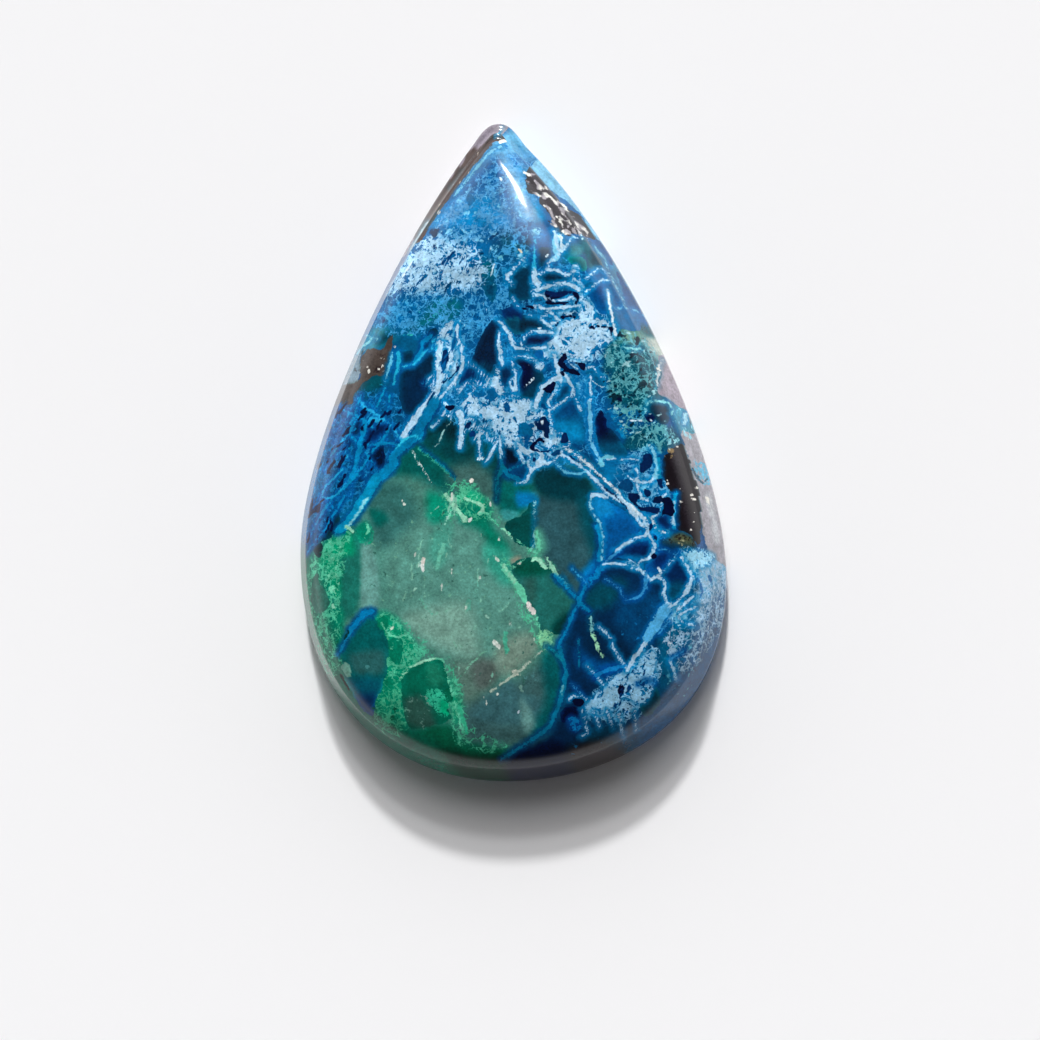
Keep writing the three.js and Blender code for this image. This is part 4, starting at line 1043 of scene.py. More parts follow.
vein(MINT, 0.14, 0.12, (-1.3, -4.1), (-0.9, -4.1), (-0.5, -4.6), (0.5, -5.4))
vein(PALE_GREEN, 0.18, 0.1, (0.2, -5.1), (0.6, -5.6))
vein(MINT, 0.12, 0.16, (0.9, -5.7), (1.7, -6.3), (2.1, -6.5))
vein(MINT, 0.14, 0.24, (2.1, -5.2), (2.3, -6.3))
patch(paint(84, 168, 144), 0.35, (2, -5.2), (2.4, -5.2), (2.7, -6.2), (2.1, -6.6))
vein(paint(119, 186, 196), 0.07, 0.08, (2, -3.4), (1.9, -6.2))
vein(PALE_GREEN, 0.16, 0.24, (1.8, -7), (2.1, -6.8), (2.7, -7.4))
vein(PALE_GREEN, 0.18, 0.24, (2.7, -6.8), (3.3, -7.8))
vein(MINT, 0.08, 0.1, (1.6, -6.5), (1.1, -7.1), (0.6, -7.4))
fleck(paint(206, 216, 200), 0.2, (1.05, -7.15), (1.2, -7.05))
fleck(paint(200, 224, 208), 0.2, (-0.38, -6.65), (-0.2, -6.95))
vein(MINT, 0.3, 0.4, (0.1, -7.2), (0.3, -7.6), (0.9, -8.3), (1.4, -9.3))
vein(PALE_GREEN, 0.18, 0.14, (0.1, -7.2), (0.8, -8.2))
fleck(paint(234, 228, 224), 0.3, (1.65, -9.5), (1.95, -9.95))
fleck(paint(234, 228, 224), 0.2, (1.6, -9.7), (1.85, -10.1))
vein(MINT, 0.14, 0.1, (2, -10), (2.3, -11))
mass(paint(130, 208, 160), (2.2, -11.1), (3, -11.3), (2.9, -11.6), (3, -12), (2.5, -12.1))
patch(paint(63, 148, 123), 0.3, (2.1, -11), (3.1, -11.2), (3, -12.2), (2.2, -12.2))
fleck(paint(226, 236, 230), 0.2, (-1.9, -4.5), (-1.82, -4.48))
fleck(paint(220, 228, 224), 0.22, (-4.75, -6.9), (-4.77, -7.45))
fleck(paint(200, 196, 188), 0.2, (-4.7, -6.75), (-4.72, -7))
fleck(paint(226, 234, 228), 0.18, (-3.72, -5.2))
vein(paint(158, 214, 196), 0.1, 0.08, (-3.1, -4), (-3.6, -5.1))
vein(paint(102, 184, 160), 0.3, 0.2, (-3.5, -5.9), (-3.9, -7.4))
vein(paint(190, 216, 214), 0.1, 0.08, (-5.5, -0.3), (-4.2, -2.3))
vein(paint(148, 200, 200), 0.09, 0.07, (-3.1, 1.5), (-4, -0.1))
fleck(paint(226, 226, 216), 0.2, (-1.85, -2.2), (-1.78, -2.05))
fleck(paint(93, 170, 150), 0.24, (-2, -9.3), (-1.95, -9.8))
vein(paint(102, 176, 156), 0.1, 0.1, (-1.4, -7.4), (-1.5, -9.2))
fleck(paint(158, 215, 196), 0.16, (-0.95, -10.15), (-0.8, -10.35))
mottle("bloom", paint(111, 204, 176), 0.34, 0.3, (-0.8, -10.2), (-0.1, -10.2), (-0.2, -11.1), (-0.7, -11))
vein(paint(80, 180, 150), 0.3, 0.24, (0.2, -11.3), (0.3, -12.5))
fleck(paint(214, 226, 218), 0.24, (-0.4, -11.8), (-0.2, -12.05))
vein(paint(102, 180, 156), 0.12, 0.06, (-5, -9.1), (-4.2, -10.1), (-4, -10.1))
fleck(paint(148, 205, 185), 0.2, (-5.3, -8.65), (-5.15, -8.55))

scatter("flecks", paint(120, 182, 160), 0.1, 0.9, 78, 34, (-7.4, -5), (-3, -3), (0.6, -8), (1.6, -12),
        (-1, -16), (-4, -12.4), (-7, -9.4))
scatter("flecks", paint(206, 216, 206), 0.13, 0.4, 100, 14, (-7.4, -3), (-2, -2), (1.2, -8), (2, -15),
        (-1.6, -15), (-5, -11))
mottle("shade", paint(52, 100, 90), 0.2, 1.0, (-7.6, -4), (-3, -2.6), (0.6, -8), (2.6, -12), (0, -16),
       (-4, -12), (-7.6, -9))
mottle("bloom", paint(112, 176, 150), 0.2, 1.0, (-7.6, -4), (-3, -3.6), (0.2, -8), (1.6, -12), (-1, -14),
       (-7.6, -9))

# Left part of the green half: emerald malachite with pale mottles around grey-green cells.
patch(paint(9, 150, 108), 0.3, (-9.4, -5), (-9, -6.4), (-9.9, -6.8), (-9.9, -9.2), (-11.2, -8),
      (-11.4, -6.6), (-10.9, -5.7))
patch(paint(7, 140, 104), 0.3, (-9.9, -9.6), (-9.8, -12), (-10, -13.4), (-11.2, -13.6), (-12.2, -10.4))
patch(paint(14, 150, 112), 0.3, (-6.9, -10), (-5.8, -11), (-5, -12.8), (-7.2, -14.6), (-7, -12),
      (-7.9, -10.2))
patch(paint(7, 130, 104), 0.25, (-8.9, -4.9), (-8.3, -4.5), (-7.9, -5), (-8.1, -5.7), (-8.8, -5.6))
cell(paint(48, 108, 96), (-11.3, -7.6), (-11.2, -8.1), (-10.8, -8.6), (-10.6, -9.4), (-11, -9.8),
     (-11.6, -9.9), (-11.9, -8.8), (-11.6, -7.7))
mottle("bloom", paint(119, 214, 176), 0.42, 0.3, (-9.7, -5.2), (-10, -9.2), (-11, -8.2), (-11.2, -6.8),
       (-10.6, -5.5))
mottle("shade", paint(2, 120, 86), 0.34, 0.3, (-11.6, -6.6), (-10, -5.2), (-9.4, -6.2), (-9.9, -9.4),
       (-11.2, -8))
mottle("bloom", paint(98, 196, 160), 0.3, 0.3, (-12, -10.4), (-10.4, -9.8), (-9.9, -11.4), (-10.6, -13.8),
       (-11.6, -12.8))
mottle("shade", paint(2, 116, 84), 0.3, 0.3, (-12, -10.4), (-10.4, -9.8), (-9.9, -11.4), (-10.2, -13.6),
       (-11.6, -12.8))
vein(PALE_GREEN, 0.14, 0.2, (-9.6, -4.7), (-9.1, -5.1))
vein(MINT, 0.16, 0.1, (-8.2, -4.6), (-8.1, -5), (-8.3, -5.5))
vein(paint(29, 160, 124), 0.1, 0.1, (-8.9, -5.2), (-8.6, -5.7), (-8.1, -5.8), (-7.8, -5.3), (-7.9, -4.8))
fleck(paint(139, 205, 176), 0.2, (-10.4, -9.5), (-10.3, -9.6))

# Dark teal cell in the lower left with an azure top edge and a deep blue foot.
cell(paint(2, 96, 96), (-8.1, -10.2), (-7.7, -10.3), (-7, -11.5), (-6.8, -12.1), (-7, -13), (-7, -13.6),
     (-7.3, -14.2), (-7.4, -14.8), (-7.8, -15.2), (-8, -16.1), (-8.7, -15.7), (-9.6, -14.2),
     (-9.8, -13.2), (-9.8, -12.3), (-8.9, -10.9))
tint("cells", paint(46, 104, 104), 0.4, (-9.3, -12.4), (-7.2, -12.2), (-7.3, -13.6), (-9, -13.6))
tint("cells", paint(2, 96, 116), 0.4, (-9.5, -13.9), (-7.4, -13.9), (-7.5, -14.8), (-9, -14.9))
tint("cells", paint(2, 58, 104), 0.4, (-9.1, -14.9), (-7.6, -14.9), (-7.9, -16.3), (-9, -15.9))
vein(paint(2, 124, 180), 0.4, 0.3, (-7.9, -9.9), (-8.5, -10.1), (-9.3, -11.1))
vein(paint(19, 130, 180), 0.22, 0.12, (-9.2, -11), (-10.1, -12.4))
slot(paint(2, 60, 60), 0.2, (-9.4, -11.1), (-9.7, -11.6))
cell(paint(113, 168, 152), (-9.9, -13), (-9.5, -12.9), (-9.3, -13.4), (-9.4, -13.8), (-9.8, -13.5))
fleck(paint(75, 150, 150), 0.16, (-8.3, -13.2), (-8.1, -13.2))
mottle("bloom", paint(12, 116, 136), 0.22, 0.3, (-9.2, -14.3), (-7.6, -14.3), (-7.9, -15.2),
       (-8.8, -15.1))
slot(paint(2, 40, 36), 0.2, (-9.95, -13.7), (-9.5, -14.5))

# Bottom left: emerald column, a dark green oval with a mint heart and grey fibres.
patch(paint(2, 140, 106), 0.3, (-6.6, -13.2), (-6.1, -13.8), (-5.8, -17.2), (-6.6, -17.4), (-7.9, -16.2),
      (-7.5, -13.9))
mottle("bloom", paint(98, 204, 160), 0.32, 0.3, (-7.6, -14.6), (-6.2, -14.4), (-6, -16.4), (-6.8, -17),
       (-7.7, -15.8))
mottle("shade", paint(2, 92, 70), 0.34, 0.3, (-7.8, -15), (-6.4, -15.2), (-6, -16.8), (-7, -17.2),
       (-8, -16.2))
cell(paint(2, 108, 86), (-3.6, -12.9), (-3.3, -13.6), (-3.1, -14.6), (-3.3, -15.6), (-3.2, -16.4),
     (-5.4, -16.9), (-5.9, -16.4), (-6.1, -15.2), (-6.1, -14), (-5.6, -13.4), (-5, -13.1), (-4.2, -12.8))
tint("cells", paint(29, 126, 100), 0.35, (-4.6, -13), (-3.7, -13.1), (-3.4, -14.2), (-4.4, -14.4))
tint("cells", paint(48, 92, 82), 0.35, (-6, -15.2), (-5, -14.9), (-4.2, -15.9), (-4.2, -16.9),
     (-5.8, -16.6))
mass(paint(53, 186, 148), (-4.5, -14.7), (-4, -14.6), (-3.6, -14.8), (-3.2, -15.9), (-3.5, -16.1),
     (-4, -15.8), (-4.4, -15.3))
tint("masses", paint(7, 172, 122), 0.2, (-3.8, -15.3), (-3.3, -15.2), (-3.1, -16.1), (-3.7, -16))
cell(paint(2, 104, 78), (-3.5, -14.6), (-3.1, -14.6), (-3, -15.2), (-3.4, -15.3))
mottle("bloom", paint(103, 150, 136), 0.4, 0.3, (-5.8, -15), (-4.6, -14.8), (-4.3, -16), (-4.8, -16.8),
       (-5.9, -16.2))
vein(PALE_GREEN, 0.1, 0.12, (-6.2, -13.9), (-5.6, -13.3), (-5, -13), (-3.9, -12.7))
vein(MINT, 0.14, 0.1, (-3.9, -12.7), (-3.6, -12.8), (-3.5, -13))
vein(MINT, 0.12, 0.14, (-3.4, -13.3), (-2.5, -16.9))
patch(paint(23, 158, 116), 0.3, (-3.2, -14), (-2.6, -14), (-2.3, -15.4), (-2.5, -16.6), (-3, -16.4))
vein(paint(57, 180, 140), 0.3, 0.2, (-2.7, -15.6), (-2.4, -16.3), (-2.2, -17.2))
vein(MINT, 0.14, 0.12, (-7.3, -10.6), (-6.9, -11.2), (-6.4, -11.4), (-5.7, -11.3), (-5.3, -11.7))
vein(MINT, 0.1, 0.1, (-6.8, -12.3), (-6.6, -11.8), (-6.3, -11.6))
vein(paint(70, 190, 150), 0.1, 0.1, (-5.9, -13.7), (-6.4, -14.2), (-7.5, -14.9))
cell(paint(2, 124, 96), (-6.7, -11.5), (-6.2, -11.5), (-6, -12.2), (-6.2, -13), (-6.7, -12.8),
     (-6.9, -12))
cell(paint(2, 128, 96), (-7.5, -10.3), (-7, -10.2), (-6.8, -10.7), (-7.2, -11), (-7.5, -10.8))
fleck(paint(200, 232, 212), 0.16, (-6.7, -10.95), (-6.55, -10.8))
patch(paint(2, 104, 76), 0.4, (-8, -16.4), (-6, -17), (-3.4, -16.6), (-2.4, -17.6), (-0.4, -17.9),
      (0.4, -18.4), (0.2, -20.4), (-5, -19.8))
patch(paint(2, 66, 50), 0.4, (-3.6, -18.3), (-1.4, -18.5), (0.4, -18.6), (0.4, -20.4), (-2.6, -20.2))
patch(paint(63, 158, 133), 0.2, (-1.2, -17.6), (-0.2, -17.4), (0.1, -17.9), (-0.9, -17.9))

# Slate cell at the bottom with a pale torn edge above it.
patch(paint(63, 102, 103), 0.5, (3.4, -14), (3.2, -16), (1.8, -17.6), (-2, -17.6), (-2.2, -15.4),
      (1, -14), (2.4, -13))
patch(paint(62, 108, 114), 0.35, (2.4, -15.2), (1.6, -16.6), (-1.6, -16.4), (-1.6, -15.6), (0.4, -14.1),
      (1, -14.8))
patch(paint(92, 126, 115), 0.5, (-3, -13), (-1.4, -13), (-0.4, -13.6), (-1.2, -14.8), (-2.4, -15.2))
patch(paint(86, 102, 98), 0.4, (-1.6, -12.8), (-0.2, -12.9), (-0.2, -13.8), (-1.2, -14.6), (-1.8, -13.8))
patch(paint(118, 146, 132), 0.5, (1.4, -11.2), (2.2, -12.2), (0.2, -13.8), (-0.4, -12.2))
patch(paint(2, 92, 96), 0.5, (3.3, -12.6), (3.7, -14), (3.2, -16), (2.2, -17.2), (1.6, -17), (2.6, -15.2),
      (2.4, -12.6))
vein(paint(176, 200, 184), 0.08, 0.16, (2.4, -12.3), (0.9, -13.6))
vein(paint(170, 190, 174), 0.16, 0.06, (0.9, -13.6), (-0.7, -14.7))
mass(paint(214, 220, 204), (0.6, -13.7), (0.8, -13.5), (1, -13.6), (0.9, -13.8), (0.6, -13.8))
fleck(paint(200, 214, 200), 0.16, (1.25, -13.25), (1.32, -13.2))
mottle("bloom", paint(102, 156, 136), 0.22, 0.4, (-2, -13), (-0.4, -12.8), (-0.3, -14), (-1.4, -14.8),
       (-2.2, -14.2))
vein(paint(111, 176, 150), 0.12, 0.1, (-1, -12.3), (-1.9, -13.1), (-2.4, -13.9))
fleck(FROST, 0.18, (0.95, -15.92), (0.98, -15.85))
patch(paint(103, 154, 150), 0.3, (1.1, -15.2), (1.5, -15.5), (1.9, -16.5), (1.5, -17.2), (1.1, -16.6))
fleck(paint(111, 160, 150), 0.2, (1.1, -14.4), (1.15, -14.7))
mottle("bloom", paint(75, 128, 130), 0.24, 0.4, (1, -13.4), (2.4, -12.8), (2.9, -14), (2.2, -15.4),
       (1.1, -14.8))

# The lower right: deep navy azurite-blue cells held in a pale blue lattice.
patch(paint(2, 46, 82), 0.4, (14, -7.4), (13.6, -12.4), (10.8, -16.8), (7, -19.6), (2, -20.8), (0.2, -19),
      (2.4, -17.6), (3.8, -15), (3.6, -12.6), (5.1, -7.6), (6.2, -6.6), (8.6, -5.7))
patch(paint(7, 118, 182), 0.3, (6, -6.6), (6.2, -7.2), (5, -8.4), (4.8, -7.6))
patch(paint(2, 74, 92), 0.5, (4.7, -9.4), (5.2, -8.7), (6.6, -8), (7.4, -8.4), (6.6, -9.6), (5.4, -10))
patch(paint(2, 66, 110), 0.5, (8.4, -8.6), (9.8, -9.8), (8, -12), (7, -11.6), (6.6, -10.4), (7.4, -9))
patch(paint(2, 42, 72), 0.5, (4.6, -10.6), (6, -10.2), (7.8, -12.4), (7, -13.4), (4.6, -12.4))
patch(paint(2, 84, 150), 0.4, (4.4, -12.2), (5.6, -12.9), (7.2, -13.1), (6.6, -13.7), (5.6, -14),
      (4.9, -13.4))
patch(paint(119, 182, 214), 0.3, (11, -6.8), (14, -6.8), (14, -10), (12.6, -12.4), (11.4, -11.4),
      (11.2, -9.6), (11.6, -8.4))
patch(paint(2, 92, 130), 0.4, (11.6, -10.8), (12.2, -12), (10.8, -14.8), (9.4, -15.8), (9.2, -12.2),
      (9.6, -10.9), (10.6, -10.6))
mottle("bloom", paint(93, 176, 200), 0.32, 0.3, (9.8, -11.2), (11.4, -11.2), (12, -12.6), (10.6, -15.2),
       (9.5, -14))
mottle("shade", paint(2, 60, 104), 0.32, 0.3, (9.8, -11.2), (11.4, -11.2), (12, -12.6), (10.6, -15.2),
       (9.5, -14))
mottle("bloom", paint(196, 216, 232), 0.36, 0.3, (11.4, -7.4), (13.4, -7.6), (13, -10.4), (11.8, -11.6),
       (11.4, -9.6))
cell(paint(2, 104, 176), (5.5, -3.2), (6.2, -3.4), (7.1, -3.9), (8.2, -5), (7.6, -5.9), (6.9, -6.2),
     (6.1, -6.9), (6, -5.2), (5.8, -4.6), (5.4, -4.2))
tint("cells", paint(2, 84, 148), 0.4, (6.4, -4.6), (7.8, -4.6), (8.2, -5.4), (6.8, -6.4), (6.2, -6.4))
tint("cells", paint(19, 134, 200), 0.3, (5.3, -3.2), (6.4, -3.4), (6.6, -4.2), (5.7, -4.3))
cell(paint(2, 36, 78), (6.2, -7), (7.3, -6.2), (8.2, -5.9), (8.7, -6), (8.9, -6.2), (8.8, -6.7),
     (8.4, -7), (7, -6.8), (6.6, -7))
tint("cells", paint(2, 110, 170), 0.2, (6.9, -6.9), (7.6, -6.6), (8.4, -6.8), (8.4, -7.1), (7.2, -7.1))
cell(paint(2, 42, 92), (9.6, -6.5), (10, -6.8), (9.3, -7.8), (8.9, -8), (8.5, -7.3), (9, -6.9),
     (9.2, -6.3))
tint("cells", paint(2, 84, 150), 0.2, (8.6, -7.2), (9.2, -7.3), (9.4, -7.9), (8.7, -7.9))
cell(paint(2, 42, 84), (10.5, -6.6), (11.1, -7.7), (11.2, -8.1), (10.9, -8.7), (10.3, -9.2), (10, -9.3),
     (9.8, -9), (9.8, -8.5), (9.6, -8.1))
tint("cells", paint(2, 70, 100), 0.3, (9.8, -8.4), (10.6, -8.2), (11, -8.8), (10, -9.5))
mass(paint(19, 140, 206), (8.5, -4.2), (9, -4.4), (9.2, -4.9), (9.6, -5.3), (9.3, -5.8), (9.2, -6.3),
     (8.8, -5.9), (8.3, -5.7), (8.1, -5.4), (8.5, -5.1), (8.3, -4.7))
vein(ICE, 0.2, 0.16, (8.3, -4.2), (8.7, -5.1), (8.5, -5.5), (8, -5.6), (6.8, -6.4))
vein(ICE, 0.14, 0.12, (8.6, -5.2), (9.1, -6.1), (9.1, -6.4))
vein(FROST, 0.1, 0.12, (8.9, -4.4), (9, -4.8), (9.4, -5.2), (9.8, -5.3))
hole(NAVY, (8.75, -4.7), (8.95, -4.9), (8.9, -5.2), (8.75, -5.1))
hole(NAVY, (9, -5.5), (9.2, -5.5), (9.2, -5.8), (9.05, -5.75))
cell(paint(2, 40, 84), (9, -4), (9.4, -4.3), (10, -4.2), (10.2, -4.8), (9.9, -5.1), (9.4, -5),
     (9.1, -4.6))
vein(paint(128, 200, 226), 0.12, 0.14, (5.4, -3.1), (5.3, -3.6), (5.5, -4.2), (5.9, -4.8), (6, -5.4),
     (6, -6.9))
vein(paint(12, 130, 184), 0.3, 0.24, (5.7, -4.9), (5.9, -5.6), (5.8, -7))
vein(ICE, 0.3, 0.2, (5.4, -3.1), (5.9, -3.1), (6.2, -3.2))
vein(ICE, 0.12, 0.2, (6, -7.2), (7.3, -7.2), (8.5, -7.7), (8.8, -8.1))
mass(ICE, (7.3, -7.1), (7.7, -7), (8.1, -7.2), (8.2, -7.5), (7.4, -7.3))
vein(SKY, 0.12, 0.1, (6.2, -7), (7.6, -6))
vein(ICE, 0.1, 0.14, (8.1, -7.4), (8.3, -7), (8.8, -6.8), (9, -6.3))
hole(INK, (8.9, -6.7), (9.1, -6.55), (9.2, -6.8), (8.95, -6.9))
fleck(FROST, 0.16, (9.35, -7.4), (9.45, -7.6))
vein(SKY, 0.08, 0.08, (9.2, -6.3), (9.7, -6.3), (10.2, -6.6), (10.5, -6.5))
vein(ICE, 0.1, 0.1, (10.2, -6.8), (9.3, -8))
vein(SKY, 0.1, 0.08, (10.2, -6.5), (9.6, -7.6))
vein(ICE, 0.2, 0.16, (8.7, -8.1), (9.2, -8), (9.6, -8.2), (9.7, -8.6), (9.6, -9), (9.9, -9.6))
vein(SKY, 0.14, 0.1, (8.6, -7.7), (8.5, -8.2), (8.7, -8.6))
mass(paint(146, 206, 232), (10.6, -6.6), (11.2, -6.4), (12.4, -6.6), (12, -7.2), (11.5, -7.4), (11.3, -8))
vein(ICE, 0.12, 0.3, (10.6, -6.7), (11.2, -7.8), (11.2, -8.2), (10.9, -8.8))
slot(paint(19, 100, 160), 0.14, (11.5, -8), (11.8, -8.6), (11.7, -9.2))
slot(paint(19, 100, 160), 0.12, (12.2, -7.8), (12.4, -8.6))
vein(SKY, 0.12, 0.16, (7.2, -9.1), (7.5, -9.3), (8, -9.2), (8.4, -8.8), (8.7, -8.1))
vein(paint(48, 140, 200), 0.1, 0.1, (7.2, -9.1), (7, -8.6), (6.2, -8.1))
mottle("bloom", paint(19, 110, 176), 0.2, 0.4, (7.4, -9.2), (9.4, -9), (9.2, -10.6), (8, -11.8),
       (6.8, -11.2))

# The long pale streak and its star of side branches.
vein(ICE, 0.36, 0.3, (9.9, -9.6), (8.6, -11.7))
vein(ICE, 0.3, 0.2, (8.6, -11.7), (7.4, -13.5))
vein(paint(80, 170, 222), 0.7, 0.5, (9.7, -9.9), (8.6, -11.6))
mass(paint(163, 218, 238), (9.9, -9.5), (10.3, -9.6), (10.7, -9.5), (10.6, -9.9), (10.9, -10.3),
     (10.6, -10.5), (10.6, -10.9), (10.2, -10.6), (9.9, -10.7), (9.8, -10.3), (9.6, -10.1))
vein(ICE, 0.16, 0.1, (10.4, -9.9), (11.3, -9.1))
vein(ICE, 0.14, 0.1, (10.5, -10.2), (11.5, -9.6))
vein(ICE, 0.14, 0.1, (10.5, -10.4), (10.9, -10.7), (11.4, -10.8))
vein(ICE, 0.16, 0.1, (10, -9.7), (10.4, -9.4), (11.1, -8.6))
vein(SKY, 0.12, 0.1, (9.3, -11.3), (9.9, -10.6))
fleck(FROST, 0.16, (9.95, -11.8), (10, -11.9))
vein(ICE, 0.14, 0.12, (9.9, -12.9), (10.1, -13.4), (10.2, -14))
vein(SKY, 0.08, 0.08, (9.9, -12.9), (10.7, -12.3))

# Branches of azure and pale green from the green field into the navy.
vein(paint(2, 124, 176), 0.2, 0.22, (3.2, -7.8), (5.2, -10))
vein(paint(2, 124, 176), 0.16, 0.2, (5, -8.5), (3.4, -12.1))
mass(paint(7, 126, 188), (6, -7.2), (6.1, -7.5), (5.1, -8.5), (5, -8.3))
vein(paint(48, 150, 200), 0.12, 0.12, (4.2, -7.4), (5, -8.3))
vein(paint(66, 166, 190), 0.1, 0.1, (3.2, -7.7), (3.6, -8), (4, -8.5))
vein(paint(119, 190, 194), 0.14, 0.18, (5.3, -10.2), (5.4, -11.3))
vein(paint(158, 225, 184), 0.2, 0.18, (5.4, -11.3), (6, -12.7))
vein(ICE, 0.2, 0.12, (5.8, -10.9), (6.5, -11.6), (6.6, -12.1))
vein(ICE, 0.14, 0.14, (6.6, -12.1), (7.4, -13.4))
vein(paint(2, 110, 150), 0.14, 0.1, (4.6, -11.7), (4.6, -13.3))
vein(paint(7, 118, 158), 0.2, 0.3, (3.4, -12.1), (3.6, -12.8), (3.8, -13.6), (3.6, -14.6), (3.4, -15.4))
vein(paint(7, 118, 158), 0.3, 0.2, (3.4, -15.4), (3, -16.3), (2.5, -17), (-0.2, -18.7))
vein(paint(19, 130, 150), 0.14, 0.14, (2.7, -12), (3.2, -12.4), (3.6, -12.9))
fleck(paint(93, 180, 200), 0.12, (3.6, -14.4), (3.5, -15))

# The pale blue cluster low on the right, full of small dark pits, and the dark rock under it.
mottle("shade", paint(29, 110, 180), 0.42, 0.1, (4.9, -15.4), (6.4, -14.1), (6.9, -14.3), (6.6, -15.1),
       (7.5, -15.6), (7.3, -16.1))
mottle("shade", paint(7, 84, 150), 0.4, 0.1, (7.6, -13.3), (8.5, -12.4), (9.1, -13.2), (8.9, -14.1),
       (8.1, -14))
mottle("bloom", paint(226, 238, 246), 0.26, 0.1, (5, -15.4), (6.4, -14.3), (6.6, -15.4), (7.3, -15.9),
       (6, -15.8))
hole(INK, (6.9, -14.3), (7.15, -14.3), (7.25, -14.6), (7.1, -14.9), (6.9, -14.8))
scatter("pits", paint(2, 60, 112), 0.16, 0.3, 80, 22, (5.2, -15.6), (6.6, -14.2), (8.6, -12.6),
        (8.9, -14.4), (7.6, -15.8), (6, -16.2))
vein(ICE, 0.14, 0.1, (5.4, -15.9), (5.7, -16.8))
vein(ICE, 0.16, 0.08, (6.2, -15.9), (6.5, -16.9))
vein(ICE, 0.16, 0.08, (6.9, -16.1), (7, -17.3))
vein(ICE, 0.14, 0.08, (7.8, -15.9), (7.8, -17))
vein(SKY, 0.12, 0.08, (4.9, -15.1), (4.1, -14.2))
vein(ICE, 0.14, 0.16, (5.1, -13.2), (6, -14.3))
vein(paint(23, 130, 200), 0.3, 0.2, (5.6, -13.8), (6.2, -13.5), (7.3, -13.2))
vein(ICE, 0.12, 0.16, (4, -15.2), (4.2, -15), (4.6, -15), (5, -15.2))
hole(INK, (4.15, -15.25), (4.5, -15.12), (4.85, -15.25), (4.75, -15.55), (4.3, -15.6))
vein(ICE, 0.12, 0.12, (4.7, -15.8), (5, -17), (4.6, -17.4))
mass(paint(7, 120, 186), (4, -16.3), (4.4, -16.3), (4.6, -16.7), (4.3, -17), (4, -16.8))
cell(INK, (4.7, -15.9), (4.6, -16.3), (4, -16.2), (3.7, -16.6), (3.4, -16.3), (3.6, -15.7), (4.2, -15.6))
cell(paint(2, 64, 84), (8.6, -14.2), (9.1, -14.5), (9.3, -15.1), (8.9, -15.9), (8.3, -16.2), (8.1, -15.4),
     (8.2, -14.4))
vein(SKY, 0.1, 0.1, (8.1, -14.3), (8.6, -14), (9, -14.2))
patch(paint(2, 70, 100), 0.4, (5, -17), (7.6, -16.6), (8.8, -16.4), (8, -18.6), (5.4, -19.4))
patch(paint(48, 42, 46), 0.4, (3.4, -18.4), (5, -17.6), (6.6, -17.9), (7, -19.6), (3, -20.4))
patch(paint(2, 22, 56), 0.4, (0.4, -18.4), (2.4, -17.7), (3.6, -18), (3.4, -20.6), (0.2, -20.6))
mottle("bloom", paint(29, 110, 160), 0.2, 0.4, (3.4, -17.4), (6, -16.8), (8.6, -16.6), (8, -18.4),
       (4, -18.9))

# Deeper, more saturated colour along the low wall: painted shade on the side away from the light, over the
# rock's own emerald and blue.
patch(paint(4, 112, 92), 0.7, (-14, -6), (-10.9, -7.4), (-9.4, -13.2), (-7.4, -16), (-4, -18.2), (-4.4, -21),
      (-11, -18), (-14.6, -12))
patch(paint(2, 84, 132), 0.7, (14.6, -7), (11.9, -9.4), (10.2, -13.8), (8, -16.4), (8.6, -19), (14, -14))

# Filled cracks: a fine pale lattice, thick where the rock shattered most.
lace(paint(50, 150, 208), 0.34, 0.6, (1, 11.4), (4.4, 11), (5.8, 8.6), (6.4, 4), (5.4, -0.4), (4, -1.2),
     (2, -1.4), (-0.8, 1), (-3.6, 1.6), (-5, 4), (-4.4, 7), (-1, 9.4))
lace(paint(160, 204, 232), 0.74, 0.6, (-7.4, 9.7), (-5.2, 12.6), (-3, 12.9), (-1.4, 11.2), (-1.2, 9.4),
     (-3, 8.9), (-5.8, 9))
lace(paint(72, 144, 194), 0.42, 0.5, (-4.2, 13.4), (-2.4, 16), (0.6, 18.6), (1.8, 17.6), (1.8, 13.6),
     (-0.2, 12.4), (-2.8, 12.4))
lace(paint(60, 150, 204), 0.42, 0.5, (-8.4, 7.2), (-6.8, 9.2), (-1.4, 9.4), (-0.6, 11.6), (1.8, 12.8),
     (2, 9), (0.2, 8), (-2.4, 6.6))
lace(ICE, 0.62, 0.4, (4.6, 9), (6.5, 7), (6.3, 5.8), (5, 4.8), (3, 5.2), (3, 7.2))
lace(ICE, 0.75, 0.4, (-3.3, 7.4), (-2.6, 6.6), (-2.4, 4.4), (-3.4, 3), (-4.2, 4.4), (-4.1, 6.6))
lace(ICE, 0.62, 0.4, (-2.6, 2.6), (1, 3), (2.8, 2), (1.2, -0.4), (-2.6, 1.4))
lace(ICE, 0.5, 0.3, (1.2, 0.4), (3.2, 0.8), (3.6, -0.6), (2.4, -1.4), (1.2, -1.2))
lace(paint(84, 158, 168), 0.44, 0.4, (6.2, 6.4), (8, 6.9), (9.2, 5.2), (8.8, 1.8), (10.2, 1), (9.4, -0.4),
     (7.8, -0.2), (6.6, 2), (6.1, 4))
lace(paint(31, 128, 186), 0.36, 0.5, (-6.6, 3.2), (-6, 0.4), (-7.4, -2), (-11.8, -5.4), (-13.4, -4),
     (-10.8, 2.6))
lace(paint(100, 172, 214), 0.4, 0.3, (7.2, -0.6), (9.2, -0.6), (10, -2.8), (9.8, -5.8), (8, -4.6),
     (6.8, -2.6))
mass(paint(148, 204, 236), (8.6, -12.5), (9, -13.4), (8.8, -14.6), (8.2, -15.4), (7.2, -15), (6.4, -15.8),
     (5.4, -16), (5.2, -15.3))
